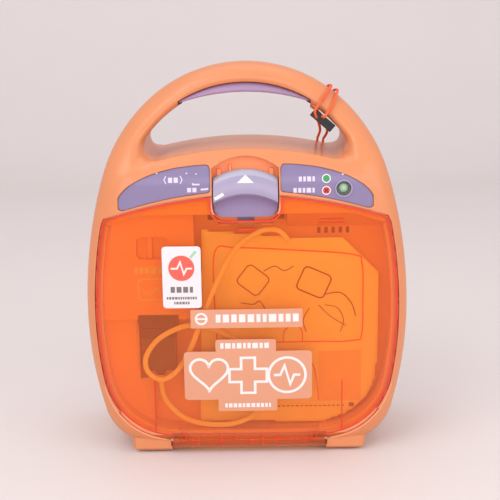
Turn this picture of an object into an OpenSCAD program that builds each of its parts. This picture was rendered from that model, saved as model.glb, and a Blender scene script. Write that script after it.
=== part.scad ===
// Portable defibrillator: a carry-handle case with a clear hinged lid, a sliding opening lever,
// a shock button, a removable battery pack, a status disc, a pads pouch and its cable.
// Millimetres. +Z is up, the front faces -Y, and the origin is on the floor under the middle.

/* [Case] */
// Width of the case across its waist
body_w = 206; // [204:1:208]
// Depth of the case from the crown of the lid to the flat back
body_d = 97; // [96:0.5:98]
// Height of the case from the floor to the top of the handle
body_h = 252; // [251:0.5:253]
// Thickness of the side and back walls
wall = 2.8; // [2.6:0.1:3]
// Depth from the front surface to the inside of the front wall
front_wall = 5.2; // [5.1:0.1:5.3]

/* [Lid] */
// Thickness of the clear lid
lid_t = 2.2; // [1.8:0.1:2.2]
// Gap between the lid and the case
lid_gap = 1; // [0.8:0.1:1.2]
// Outer radius of the hinge barrel
barrel_r = 5.4; // [5:0.1:5.4]
// Radius of the steel hinge pins
pin_r = 1.5; // [1.2:0.1:1.6]

/* [Lever] */
// Width of the opening lever
lever_w = 40; // [39:0.5:40.5]

/* [Shock button] */
// Radius of the shock button's cap
button_r = 13; // [12:0.5:13]

/* [Battery] */
// Width of the battery pack
battery_w = 85; // [80:1:85]
// Height of the battery pack
battery_h = 61; // [58:1:61]
// Depth of the battery pack
battery_d = 32.5; // [30:0.5:32.5]
// Gap between the battery pack and its bay
battery_gap = 0.4; // [0.35:0.05:0.6]
// How far the battery latch slides up
latch_travel = 3; // [2:0.5:3]

/* [Cords] */
// Diameter of the pads cable
cable_d = 3.4; // [3:0.1:3.6]
// Diameter of the cord that holds the tag
tag_cord_d = 1.8; // [1.4:0.1:2]

/* [Hidden] */
$fn = 48;

case_colour = [0.96, 0.60, 0.42];
lid_colour = [1.0, 0.42, 0.15];
panel_colour = [0.62, 0.56, 0.74];
lever_colour = [0.74, 0.71, 0.85];

// Front view of the case: a top arc, an upper and a lower side arc and a corner arc
base_z = 2.8;
top_r = 93;
waist_z = 95.8;
low_r = 262;
corner_r = 34;
top_c = [0, body_h - top_r];
rise = top_c[1] - waist_z;
side_r = (pow(body_w/2, 2) + rise*rise - top_r*top_r)/(body_w - 2*top_r);
side_c = [body_w/2 - side_r, waist_z];
side_a = atan2(rise, side_r - body_w/2);
low_c = [body_w/2 - low_r, waist_z];
corner_a = asin((waist_z - base_z - corner_r)/(low_r - corner_r));
corner_c = [low_c[0] + (low_r - corner_r)*cos(corner_a), base_z + corner_r];

// Side view of the case: a crowned front that leans back under the handle, and a flat back
front_d = body_d/2 - 0.2;
side_drop = 2.2;
low_drop = 4.5;
recline = 26;
recline_z = 178;
recline_h = 60;
front_edge = [16, 14];
back_edge = [20, 18];
back_lean = 30.5;
back_lean_z = 165;
back_lean_h = 73;
parting_y = -4;
middle = [0, 110];

// Handle opening and grip
opening_r = 78.3;
sill_z = 200.5;
sill_r = 224;
opening_corner_r = 8;
grip_top_r = 80.8;
grip_low_z = 232.5;
grip_low_r = 136;
grip_half = 42;

// Lid outline
lid_in = 7.2;
lid_corner_r = 47.5;
lid_low_z = 12.5;
lid_top_z = 172;
lid_top_r = 272;
lid_side_a = 12.3;
tab_x = 50;
ledge_t = 2.6;
ledge_show = 2;
hinge = [-38.8, 8.2];
notch_r = barrel_r + 0.5;
lid_corner_z = lid_low_z + lid_corner_r;
lid_corner_reach = low_r - lid_in - lid_corner_r;
lid_corner_a = asin((waist_z - lid_corner_z)/lid_corner_reach);
lid_corner_c = [low_c[0] + lid_corner_reach*cos(lid_corner_a), lid_corner_z];

// Lever and its window
window_x = 20.8;
window_low_z = 156.4;
window_top_z = 196;
window_top_r = 33.6;
window_corner_r = 8;
lever_low_z = 158;
lever_ridge_z = 173.2;
lever_top_z = 188;
lever_bow = 74;
lever_corner_r = 6.5;
lever_back_y = -40;
well_front_y = -39.4;
well_back_y = -37.2;
slide_front_y = -36.9;
slide_back_y = -34.4;
lever_spring_y = -31.6;
lever_spring_z = [176.2, 194];

// Inner deck
deck_in = 4;
deck_low_z = 15.8;
deck_top_z = 160;
deck_front_y = -26;
deck_back_y = -24;
deck_wall = 1.5;
deck_seat_gap = 0.6;
block_y = -40.5;

// Shock button, status disc, battery and board places as [x, z]
shock_at = [58, 48];
status_at = [60.8, 175.7];
battery_z = 28;
battery_back_y = body_d/2 - 0.3;
battery_front_y = battery_back_y - battery_d;
latch_z = [94, 102];
board_y = [-15, -13.4];
screw_at = [[95.5, 118], [66, 11], [58, 222]];
foot_x = [53, 73.5];
foot_y = [-30, 30];
skid_x = [50.5, 76.5];

// Route of the pads cable: out of the plug, round the compartment and over to the pouch
pads_route = [
    [-57, -33, 51.8], [-57, -33, 46], [-54, -34, 34], [-43, -36, 23], [-27, -38.2, 18.6],
    [-8, -38.4, 19.4], [6, -38.4, 28], [10.5, -38.4, 46], [2, -38.2, 66], [-16, -38.4, 81],
    [-36, -40, 87], [-55, -41.2, 80], [-65, -41.2, 68], [-65, -41.2, 57], [-56, -41.6, 51],
    [-45, -42.6, 58], [-36, -43.6, 74], [-27, -43.7, 97], [-17, -43, 120], [-6, -41.4, 138],
    [8, -39, 147.5], [20, -38, 148], [27, -37.6, 141]
];

// Route of the tag's cord: up from the tag, twice round the handle and down to the tag again
tag_route = [
    [50, 50.3, 137], [50, 50.3, 158], [50, 48.8, 174], [50, 44.4, 187], [50, 40.4, 196],
    [50, 30, 199.5], [49.5, 5, 206], [47, -19, 213.5], [44, -28, 221.2], [46, -26.8, 224.8],
    [49, -23.4, 228.8], [53.4, -17.6, 233.6], [55.6, -10, 235.6], [55.6, 0, 235.6], [54.5, 8, 234.4],
    [51, 15.4, 230.8], [47, 20.6, 225], [44.6, 22, 220.6], [46, 10, 219.8], [47.5, -14, 218.8],
    [49.6, -29.4, 218], [52, -28.2, 220.8], [55, -24.6, 224.6], [57.6, -19.6, 229.4],
    [59.7, -10, 232.7], [59.6, 0, 232.6], [58.3, 8, 231.4], [55, 15.6, 227.8], [51, 22, 222],
    [49, 23.6, 217.2], [50, 8, 215.8], [52, -18, 211], [54, 5, 204.5], [54, 30, 198.2],
    [54, 40.6, 195.4], [54, 44.8, 186], [54, 48.8, 174], [54, 50.3, 158], [54, 50.3, 137]
];

// ---- Functions ----

function arc(c, r, a0, a1, n) =
    [for (i = [0:n - 1]) let(a = a0 + (a1 - a0)*i/n) c + r*[cos(a), sin(a)]];

// A closed front view made from its right half, which runs from the bottom to the top
function both_sides(h) =
    concat(h, [for (i = [len(h) - 2:-1:1]) [-h[i][0], h[i][1]]]);

// The case's front view moved inwards by d
function case_ring(d, k) = both_sides(concat(
    [[0, base_z + d], [corner_c[0]/2, base_z + d]],
    arc(corner_c, corner_r - d, -90, -corner_a, 2 + k),
    arc(low_c, low_r - d, -corner_a, 0, 1 + k),
    arc(side_c, side_r - d, 0, side_a, 1 + k),
    arc(top_c, top_r - d, side_a, 90, 3*k),
    [[0, body_h - d]]));

function smooth(t) = let(u = min(1, max(0, t))) u*u*(3 - 2*u);

// How far a rounded edge falls back at a distance d inside the outline
function edge_fall(d, edge) =
    let(u = 1 - min(1, max(0, d/edge[0]))) edge[1]*(1 - sqrt(1 - u*u));

function front_y(x, z) = -front_d + side_drop*pow(2*x/body_w, 2)
    + low_drop*pow(max(0, 1 - z/waist_z), 2) + recline*smooth((z - recline_z)/recline_h);

function back_y(z) = body_d/2 - back_lean*smooth((z - back_lean_z)/back_lean_h);

// Distance from a point of the front view to the case's outline
function edge_dist(x, z) = let(p = [abs(x), z])
    z - top_c[1] > p[0]*tan(side_a) ? top_r - norm(p - top_c)
    : z > waist_z ? side_r - norm(p - side_c)
    : p[0] > corner_c[0] && atan2(z - corner_c[1], p[0] - corner_c[0]) < -corner_a
        ? corner_r - norm(p - corner_c)
    : min(low_r - norm(p - low_c), z - base_z);

function skin_y(x, z) = front_y(x, z) + edge_fall(edge_dist(x, z), front_edge);

function rear_y(x, z) = back_y(z) - edge_fall(edge_dist(x, z), back_edge);

function catmull(a, b, c, d, t) = 0.5*(2*b + (c - a)*t + (2*a - 5*b + 4*c - d)*t*t
    + (3*b - a - 3*c + d)*t*t*t);

// A smooth path through hand-placed points, with n steps between neighbours
function spline(p, n) = let(m = len(p) - 1) concat(
    [for (i = [0:m - 1], k = [0:n - 1])
        catmull(p[max(i - 1, 0)], p[i], p[i + 1], p[min(i + 2, m)], k/n)],
    [p[m]]);

function unit(v) = v/norm(v);

function tangent(p, i) = unit(p[min(i + 1, len(p) - 1)] - p[max(i - 1, 0)]);

// Rings of a round tube along a path; side is a direction that the path never follows
function tube_rings(p, r, sides, side) = [for (i = [0:len(p) - 1])
    let(t = tangent(p, i), u = unit(cross(t, side)), v = cross(u, t))
    [for (k = [0:sides - 1]) p[i] + r*(cos(360*k/sides)*u + sin(360*k/sides)*v)]];

// ---- Shared shapes ----

// A solid through closed rings of equal length, seen anticlockwise from the first ring's side
module stack(rings) {
    n = len(rings[0]);
    m = len(rings);
    sides = [for (i = [0:m - 2], j = [0:n - 1]) let(a = i*n + j, b = i*n + (j + 1)%n)
        each [[a, b, b + n], [a, b + n, a + n]]];
    first = [for (j = [0:n/2 - 2]) let(e = n - 1 - j) each [[e, e - 1, j + 1], [e, j + 1, j]]];
    last = [for (f = first) (m - 1)*n*[1, 1, 1] + [f[2], f[1], f[0]]];
    polyhedron([for (r = rings) each r], concat(sides, first, last), convexity = 6);
}

// A tube along a path
module tube(path, r, sides, side) stack(tube_rings(path, r, sides, side));

// A coil spring of closed round wire along Z
module coil(r, wire_r, z0, z1, turns) {
    steps = 10*turns;
    path = [for (i = [0:steps]) [r*cos(36*i), r*sin(36*i), z0 + wire_r
        + (z1 - z0 - 2*wire_r)*i/steps]];
    tube(path, wire_r, 6, [0, 0, 1]);
}

// The whole case moved inwards at the front, at the sides and at the back
module case_solid(front, side, back, k) {
    inner = [0.2, 0.48, 0.68, 0.8, 0.9];
    front_face = [for (s = inner) [for (p = case_ring(front_edge[0] + side, k))
        let(q = middle + s*(p - middle)) [q[0], front_y(q[0], q[1]) + front, q[1]]]];
    front_round = [for (d = [16, 9, 4, 1, 0]) [for (p = case_ring(d + side, k))
        [p[0], front_y(p[0], p[1]) + edge_fall(d, front_edge) + front, p[1]]]];
    back_round = [for (d = [0, 1.2, 5, 11, 20]) [for (p = case_ring(d + side, k))
        [p[0], back_y(p[1]) - edge_fall(d, back_edge) - back, p[1]]]];
    back_face = [for (i = [4:-1:0]) [for (p = case_ring(back_edge[0] + side, k))
        let(q = middle + inner[i]*(p - middle)) [q[0], back_y(q[1]) - back, q[1]]]];
    stack(concat(front_face, front_round, back_round, back_face));
}

// A sheet that follows the front surface, from depth t0 to depth t1 below it.
// Each column is [x, lowest z, highest z].
module sheet(cols, nz, t0, t1) stack([for (c = cols) concat(
    [for (j = [0:nz]) let(z = c[1] + (c[2] - c[1])*j/nz) [c[0], skin_y(c[0], z) + t0, z]],
    [for (j = [nz:-1:0]) let(z = c[1] + (c[2] - c[1])*j/nz) [c[0], skin_y(c[0], z) + t1, z]])]);

// Columns of a rectangle with rounded corners
function card(x0, x1, z0, z1, r) = let(steps = [0, 0.15, 0.5, 1]) [for (x = concat(
    [for (t = steps) x0 + r*t], [for (i = [1:7]) x0 + r + (x1 - x0 - 2*r)*i/8],
    [for (i = [3:-1:0]) x1 - r*steps[i]]))
    let(e = max(0, r - min(x - x0, x1 - x)), c = min(0.9*r, r - sqrt(max(0, r*r - e*e))))
    [x, z0 + c, z1 - c]];

// Everything in front of the depth t below the front surface
module in_front_of(t) sheet([for (i = [-10:10]) [sign(i)*100*(1 - pow(1 - abs(i)/10, 1.5)), -2, 182]],
    22, -30, t);

module along_y(y0, y1) translate([0, y1, 0]) rotate([90, 0, 0])
    linear_extrude(y1 - y0) children();

module box(lo, hi) translate(lo) cube(hi - lo);

// A round bar along +Y from y0 to y1, at a place [x, z]
module bar_y(at, y0, y1, r) translate([at[0], y0, at[1]]) rotate([-90, 0, 0])
    cylinder(r = r, h = y1 - y0);

module bar_x(x0, x1, y, z, r) translate([x0, y, z]) rotate([0, 90, 0])
    cylinder(r = r, h = x1 - x0);

module rounded(x0, x1, z0, z1, r) translate([x0 + r, z0 + r]) offset(r = r)
    square([x1 - x0 - 2*r, z1 - z0 - 2*r]);

module lid_outline() difference() {
    polygon(both_sides(concat(
        [[0, hinge[1]], [tab_x, hinge[1]]],
        arc(lid_corner_c, lid_corner_r, -acos((tab_x - lid_corner_c[0])/lid_corner_r),
            -lid_corner_a, 8),
        arc(low_c, low_r - lid_in, -lid_corner_a, 0, 4),
        arc(side_c, side_r - lid_in, 0, lid_side_a, 4),
        arc([0, lid_top_z - lid_top_r], lid_top_r, 71, 90, 6),
        [[0, lid_top_z]])));
    rounded(-window_x - 0.9, window_x + 0.9, window_low_z, 210, window_corner_r);
}

module window_outline() intersection() {
    rounded(-window_x, window_x, window_low_z, 210, window_corner_r);
    translate([0, window_top_z - window_top_r]) circle(window_top_r);
}

module opening_outline() offset(r = opening_corner_r) offset(delta = -opening_corner_r)
    difference() {
        translate(top_c) circle(opening_r, $fn = 60);
        translate([0, sill_z - sill_r]) circle(sill_r, $fn = 120);
    }

module grip_outline() intersection() {
    difference() {
        translate(top_c) circle(grip_top_r, $fn = 60);
        translate([0, grip_low_z - grip_low_r]) circle(grip_low_r, $fn = 90);
    }
    translate([-grip_half, 210]) square([2*grip_half, 50]);
}

module deck_outline() intersection() {
    offset(delta = -deck_in) lid_outline();
    translate([-120, deck_low_z]) square([240, deck_top_z - deck_low_z]);
}

// ---- Case ----

// Tapered screw post beside the wall
module post(at, y0, y1) hull() {
    bar_y(at, y0, y0 + 1, 3.6, $fn = 16);
    bar_y(at, y1 - 1, y1, 4.4, $fn = 16);
}

module skid(y0, y1) hull() {
    box([skid_x[0], y0, 3], [skid_x[1] - 2, y1, 10]);
    box([skid_x[0], y0 + 2, 1.2], [skid_x[1] - 4, y1 - 2, 3]);
    box([skid_x[1] - 2, y0 + 3, 4], [skid_x[1], y1 - 3, 12]);
}

module handle_cuts(grow) {
    along_y(-60, 60) offset(r = grow) opening_outline();
    along_y(-60, 60) offset(r = grow) grip_outline();
}

module front_housing() color(case_colour) difference() {
    union() {
        difference() {
            intersection() {
                case_solid(0, 0, 0, 3);
                box([-120, -60, 0], [120, parting_y, 260]);
            }
            difference() {
                case_solid(front_wall, wall, wall, 1);
                handle_cuts(wall);
            }
        }
        intersection() {
            case_solid(2, 1.4, 2, 1);
            union() {
                for (s = [-1, 1], at = screw_at) post([s*at[0], at[1]], -22, parting_y);
                bar_x(-62, 62, hinge[0], hinge[1], notch_r + 2.2);
                box([-23.4, -48, 153.6], [23.4, well_back_y, 198.5]);
                box([-8, -40, 194.2], [8, -28.5, 196.6]);
            }
        }
        for (s = [0, 1]) mirror([s, 0, 0]) skid(-41, parting_y);
    }
    difference() {
        box([-80, -44, 14.2], [80, -24.2, 40]);
        case_solid(0, 0, 0, 1);
    }
    intersection() {
        box([-63, -44, deck_low_z - deck_wall - 0.1], [63, -23.8, 24]);
        case_solid(front_wall, wall, wall, 1);
    }
    intersection() {
        in_front_of(ledge_t);
        along_y(-60, 0) union() {
            offset(delta = lid_gap) lid_outline();
            translate([0, -ledge_show]) intersection() {
                offset(delta = lid_gap + 0.5) lid_outline();
                translate([-85, -5]) square([170, 45]);
            }
        }
    }
    difference() {
        along_y(-46, deck_back_y - 1) offset(delta = deck_wall + 0.25) deck_outline();
        in_front_of(front_wall);
    }
    bar_x(-tab_x - 0.4, tab_x + 0.4, hinge[0], hinge[1], notch_r);
    box([-tab_x - 0.4, -60, -1], [tab_x + 0.4, hinge[0], hinge[1]]);
    for (s = [-1, 1]) bar_x(s > 0 ? tab_x : -60.2, s > 0 ? 60.2 : -tab_x,
        hinge[0], hinge[1], pin_r + 0.1);
    along_y(-60, -20) deck_outline();
    along_y(-60, well_front_y) window_outline();
    box([-5.4, -50, 168], [5.4, -30, 186.4]);
    box([-7, -50, 148], [7, -36, 163.8]);
    handle_cuts(0.12);
    for (s = [0, 1]) mirror([s, 0, 0]) sheet(panel_cols(0.25), 5, -8, 2.1);
    bar_y(status_at, -60, -30, 4.6);
    for (s = [-1, 1], at = screw_at) bar_y([s*at[0], at[1]], -20, 0, 1.7, $fn = 16);
}

module rear_housing() color(case_colour) difference() {
    union() {
        difference() {
            intersection() {
                case_solid(0, 0, 0, 3);
                box([-120, parting_y, 0], [120, 60, 260]);
            }
            difference() {
                case_solid(front_wall, wall, wall, 1);
                handle_cuts(wall);
            }
        }
        intersection() {
            case_solid(2, 1.4, 2, 1);
            union() {
                for (s = [-1, 1], at = screw_at) post([s*at[0], at[1]], parting_y, 46);
                box([-battery_w/2 - 3, battery_front_y - 3, battery_z - 3],
                    [battery_w/2 + 3, 60, battery_z + battery_h + 3]);
                box([-13, 38, 90], [13, 60, 109]);
            }
        }
        for (s = [0, 1]) mirror([s, 0, 0]) skid(parting_y, 40);
    }
    box([-battery_w/2 - battery_gap, battery_front_y - battery_gap, battery_z - battery_gap],
        [battery_w/2 + battery_gap, 60, battery_z + battery_h + battery_gap]);
    box([-9.4, 41, latch_z[0] - 0.6], [9.4, 60, latch_z[1] + latch_travel + 0.6]);
    box([-6, 41, 88], [6, 45.6, latch_z[0]]);
    handle_cuts(0.12);
    for (i = [-2:2]) hull() for (x = [-72, -40])
        bar_y([x, 130 + 7*i], 40, 60, 1.3, $fn = 12);
    for (s = [-1, 1], at = screw_at) {
        bar_y([s*at[0], at[1]], -6, 60, 1.7, $fn = 16);
        bar_y([s*at[0], at[1]], 3, 60, 3.4, $fn = 20);
    }
    box([-24.3, 48, 111.7], [28.3, 60, 152.3]);
}

// The soft lens-shaped insert under the handle
module handle_grip() color(panel_colour) {
    half_chord = grip_half - 0.3;
    stack([for (i = [-8:8]) let(x = half_chord*i/8,
        lo = grip_low_z - grip_low_r + sqrt(grip_low_r*grip_low_r - x*x) + 0.1,
        hi = top_c[1] + sqrt(pow(grip_top_r, 2) - x*x) - 0.25) concat(
        [for (j = [0:3]) let(z = lo + (hi - lo)*j/3) [x, skin_y(x, z) + 0.3, z]],
        [for (j = [3:-1:0]) let(z = lo + (hi - lo)*j/3) [x, rear_y(x, z) - 0.3, z]])]);
}

// Columns of the right label panel; grow widens its outline
function panel_cols(grow) = [for (x = [22, 22.6, 24.5, 30, 36, 42, 48, 54, 60, 65, 70, 74, 77, 79])
    let(u = (x - 22)/57.8, round_in = x < 24.6 ? 2.6 - sqrt(max(0, 6.76 - pow(24.6 - x, 2))) : 0,
        tip = x > 74 ? 5.6 - sqrt(max(0, 31.4 - pow(x - 74, 2))) : 0)
    [x + grow*(x < 40 ? -1 : 1),
        175.4 - x*x/480 + 0.5*round_in + 0.75*tip - grow,
        191 - 23.5*(1 - pow(1 - u*u, 0.55)) - round_in + grow]];

module label_panel() color(panel_colour) difference() {
    sheet(panel_cols(0), 5, 0.8, 2);
    bar_y(status_at, -60, -30, 4.7);
}

module label_panel_left() mirror([1, 0, 0]) color(panel_colour) sheet(panel_cols(0), 5, 0.8, 2);

module label_panel_right() label_panel();

// One of six self-tapping screws that close the case from the back
module housing_screw(i) color("silver") {
    at = [(i < 3 ? 1 : -1)*screw_at[i%3][0], screw_at[i%3][1]];
    bar_y(at, -18, 3, 1.45);
    difference() {
        bar_y(at, 3, 5.8, 3);
        translate([at[0] - 0.5, 4.6, at[1] - 2]) cube([1, 2, 4]);
        translate([at[0] - 2, 4.6, at[1] - 0.5]) cube([4, 2, 1]);
    }
}

// A rubber foot pad under a skid
module foot(i) color("dimgray") {
    s = i < 2 ? 1 : -1;
    x0 = s > 0 ? foot_x[0] : -foot_x[1];
    y0 = i%2 == 0 ? foot_y[0] : foot_y[1] - 16;
    translate([x0, y0, 0]) cube([foot_x[1] - foot_x[0] - 2, 16, 1.2]);
}

module rear_label() color("white") box([-24, 48.02, 112], [28, 48.4, 152]);

// ---- Status window ----

module status_lens() color("honeydew") bar_y(status_at, -47.2, -45.6, 4.4);

module status_bezel() color("lavender") translate([status_at[0], -46.95, status_at[1]])
    rotate([90, 0, 0]) rotate_extrude() polygon([[4.75, 0.05], [6, 0.05], [5.7, 1.3], [5, 1.3]]);

module status_disc() color([0.45, 0.8, 0.55]) {
    difference() {
        bar_y(status_at, -39.8, -39, 5.4);
        for (a = [0, 90]) translate([status_at[0], -41, status_at[1]]) rotate([0, a + 45, 0])
            translate([2.6, 0, -0.9]) cube([5, 3, 1.8]);
    }
    bar_y(status_at, -39, -36.2, 1);
}

module status_actuator() color("dimgray") difference() {
    box([status_at[0] - 6, -38.4, status_at[1] - 5.5], [status_at[0] + 6, -28, status_at[1] + 6.5]);
    bar_y(status_at, -41, -36, 1.06);
}

// ---- Inner deck ----

module inner_deck() color(lid_colour) difference() {
    union() {
        difference() {
            along_y(-50, deck_back_y) offset(delta = deck_wall) deck_outline();
            along_y(-60, deck_front_y) deck_outline();
        }
        intersection() {
            along_y(-60, deck_back_y) offset(delta = 0.8) deck_outline();
            union() {
                along_y(block_y, deck_back_y) rounded(-110, -33, 91, 200, 6);
                hull() {
                    along_y(-37, deck_back_y) translate([-110, 60]) square([38, 34]);
                    along_y(-33, deck_back_y) translate([-110, 18]) square([48, 34]);
                }
                hull() {
                    box([26, deck_front_y, 148], [110, deck_back_y, 150]);
                    box([26, -38, 159], [110, deck_back_y, 162]);
                }
            }
        }
        for (i = [-5:2]) hull() for (z = [30, 140])
            box([16*i - 0.8, deck_back_y - 0.5, z], [16*i + 0.8, deck_back_y + 1.6, z + 1]);
    }
    in_front_of(front_wall + deck_seat_gap);
    bar_y(shock_at, -40, -10, button_r + 0.4);
    along_y(-60, -36.5) rounded(-69.5, -50, 130.8, 145, 3);
    box([-70, -60, 84.4], [-44, -29, 94.2]);
    box([-70, -60, 50], [-44, deck_front_y, 86]);
    box([-24.5, -50, 153], [24.5, -20, 170]);
    box([-9.5, -50, 151.4], [9.5, -20, 170]);
}

module pads_socket() color("black") difference() {
    box([-69.6, -38.6, 84.8], [-44.4, -29.2, 93.8]);
    box([-64, -36, 83], [-50, -31, 91]);
}

module pads_plug() color([0.25, 0.22, 0.22]) {
    box([-67.5, -38, 56], [-46.5, -28.6, 84.4]);
    box([-63.6, -35.6, 84.4], [-50.4, -31.4, 90.5]);
    translate([-57, -33, 52]) cylinder(r1 = 2.6, r2 = 4.2, h = 4);
}

module pads_cable() color("orange")
    tube(spline(pads_route, 2), cable_d/2, 8, [0, 1, 0]);

// Sealed foil pouch that holds the pair of adhesive pads
module pads_pouch() color([0.97, 0.62, 0.3]) {
    outline = [[-32, 17.5], [50, 17], [63, 21.5], [71, 27], [78, 34.5], [82.5, 43], [85, 60],
        [85.5, 119], [63, 142], [28, 143], [7, 145], [-29, 148.5], [-31, 100]];
    along_y(-35.6, -28.4) polygon(outline);
}

// Ring that guards the shock button against a knock
module shock_guard() color("white") translate([shock_at[0], deck_front_y, shock_at[1]])
    rotate([90, 0, 0]) rotate_extrude() polygon([[14, 0], [17, 0], [16.6, 1.2], [14.4, 1.2]]);

module shock_button() color([0.9, 0.25, 0.12]) {
    bar_y(shock_at, -27.8, -22, button_r);
    bar_y(shock_at, -23.6, -22, button_r + 1.4);
    bar_y(shock_at, -22, -17.4, 3);
}

module shock_spring() color("silver") translate([shock_at[0], 0, shock_at[1]])
    rotate([-90, 0, 0]) coil(5, 0.45, -22, -15.3, 4);

module shock_switch() color("black") difference() {
    bar_y(shock_at, -19, board_y[0], 4.2);
    bar_y(shock_at, -20, -15.2, 3.1);
}

// ---- Electronics ----

module main_board() color("darkgreen") difference() {
    box([-78, board_y[0], 24], [78, board_y[1], 142]);
    for (s = [-1, 1], z = [30, 136]) bar_y([s*72, z], -20, 0, 1.6);
}

module capacitor() color([0.2, 0.3, 0.55]) {
    bar_x(-70, -12, 6, 120, 17);
    bar_x(-12, -9, 6, 114, 2);
    bar_x(-12, -9, 6, 126, 2);
}

module transformer() color("goldenrod") {
    box([8, -11, 102], [50, 16, 110]);
    box([8, -11, 130], [50, 16, 138]);
    translate([29, 2.5, 110]) cylinder(r = 12, h = 20);
}

module relay() color("whitesmoke") box([56, board_y[1], 100], [78, 4, 122]);

module speaker() color("dimgray") {
    bar_y([-56, 130], 41.6, 45, 17);
    translate([-56, 34, 130]) rotate([-90, 0, 0]) cylinder(r1 = 9, r2 = 15, h = 8);
}

module battery_contacts() color("gold") for (i = [-2:2])
    box([9*i - 1.6, battery_front_y - 3.6, 50], [9*i + 1.6, battery_front_y - 3.05, 66]);

module lever_switch() color("black") box([12, -36.6, 160], [22, -28, 172]);

// ---- Battery ----

module battery_pack() color([0.93, 0.55, 0.38]) difference() {
    box([-battery_w/2, battery_front_y, battery_z],
        [battery_w/2, battery_back_y, battery_z + battery_h]);
    box([-5.5, 41.4, battery_z + battery_h - 2.6], [5.5, 45.4, battery_z + battery_h + 1]);
    translate([0, battery_back_y + 14, battery_z + 9]) rotate([0, 90, 0])
        cylinder(r = 20, h = 36, center = true);
    for (i = [-2:2]) box([9*i - 2, battery_front_y - 1, 49], [9*i + 2, battery_front_y + 1.2, 67]);
    box([-31.2, battery_back_y - 0.4, 51.8], [31.2, 60, 80.2]);
}

module battery_label() color("white")
    box([-31, battery_back_y - 0.4, 52], [31, battery_back_y - 0.1, 80]);

module battery_latch() color("dimgray") difference() {
    union() {
        box([-9, 41.6, latch_z[0]], [9, 48.2, latch_z[1]]);
        box([-5, 41.8, battery_z + battery_h + 0.8], [5, 45, latch_z[0]]);
    }
    for (i = [0:2]) box([-7, 47.6, latch_z[0] + 1.2 + 2.2*i], [7, 49, latch_z[0] + 2.2 + 2.2*i]);
    translate([0, 44.6, latch_z[1] - 5]) cylinder(r = 2.6, h = 6);
}

module latch_spring() color("silver") translate([0, 44.6, 0])
    coil(1.9, 0.3, latch_z[1] - 5, latch_z[1] + latch_travel + 0.6, 4);

// ---- Lid ----

module lid() color(lid_colour, 0.6) difference() {
    union() {
        intersection() {
            difference() {
                in_front_of(lid_t);
                in_front_of(0);
            }
            along_y(-60, 0) lid_outline();
        }
        bar_x(-tab_x, tab_x, hinge[0], hinge[1], barrel_r);
        for (x = [-44, -30, -15, 15, 30, 44]) hull() {
            box([x - 0.8, hinge[0] - 1, 12.4], [x + 0.8, hinge[0], 13.4]);
            box([x - 0.8, -42.4, 11], [x + 0.8, -41.4, 12.6]);
        }
        for (x = [-60, 60]) hull() {
            box([x - 0.4, -43.6, 20], [x + 0.4, -42.6, 21]);
            box([x - 0.4, -45.2, 50], [x + 0.4, -44.2, 51]);
        }
        box([-5.5, -46.8, 149.2], [5.5, -43, 151.2]);
    }
    for (s = [-1, 1]) bar_x(s > 0 ? 41.6 : -tab_x - 1, s > 0 ? tab_x + 1 : -41.6,
        hinge[0], hinge[1], pin_r + 0.35);
}

module hinge_pin_left() color("silver") bar_x(-60, -42, hinge[0], hinge[1], pin_r);

module hinge_pin_right() color("silver") bar_x(42, 60, hinge[0], hinge[1], pin_r);

module name_plate() color([0.95, 0.62, 0.45])
    sheet([for (i = [0:8]) [-36 + 71*i/8, 87.2, 99.5]], 2, -0.2, -0.02);

module main_decal() color([0.95, 0.62, 0.45]) {
    sheet(concat(card(-41, 41, 38, 71.6, 3)), 4, -0.2, -0.02);
}

module lid_sticker() color("white")
    sheet(card(-53, -28.6, 100.7, 140.6, 2), 5, -0.2, -0.02);

// ---- Lever ----

module opening_lever() color(lever_colour) {
    half = lever_w/2;
    stack([for (i = [-12:12]) let(x = half*i/12, bow = x*x/lever_bow,
        e = max(0, abs(x) - half + lever_corner_r),
        low = lever_low_z + lever_corner_r - sqrt(pow(lever_corner_r, 2) - e*e) + 0.02,
        top = lever_top_z - bow, ridge = lever_ridge_z - bow, mid = (low + ridge)/2)
        [[x, -43.4, low], [x, -41.8, mid], [x, -43.6, ridge - 2.4], [x, -48.1, ridge],
        [x, -46.8, top - 5], [x, -43.6, top], [x, lever_back_y, top],
        [x, lever_back_y, top - 3], [x, lever_back_y, ridge], [x, lever_back_y, ridge - 1.6],
        [x, lever_back_y, mid], [x, lever_back_y, low]]]);
    box([-4.8, lever_back_y, 169.4], [4.8, slide_front_y, 177.6]);
}

// Slide behind the well: it carries the lever, the latch hook and the spring's seat
module lever_slide() color("silver") {
    box([-8, slide_front_y, 152.2], [8, slide_back_y, 176]);
    box([-5, -43.2, 152.2], [5, slide_front_y, 154.6]);
    box([-8, slide_back_y, 173.4], [8, -28.6, 176]);
}

module lever_spring() color("silver") translate([0, lever_spring_y, 0])
    coil(2.3, 0.35, lever_spring_z[0], lever_spring_z[1], 8);

// ---- Hinge-side cords and tag ----

module tag_cord() color("orangered") tube(tag_route, tag_cord_d/2, 8, [0.62, 0, -0.78]);

// Black slider across the two strands of the tag's cord, along the handle's inner edge
module cord_clip() color([0.15, 0.15, 0.15]) translate([49.2, -23.4, 215.4])
    rotate([0, 41, 0]) cube([16.4, 4, 5.4], center = true);

module expiry_tag() color("gold") difference() {
    box([37, 49.2, 92], [67, 51.2, 143]);
    box([48.2, 49, 137], [55.8, 52, 144]);
}

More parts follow.
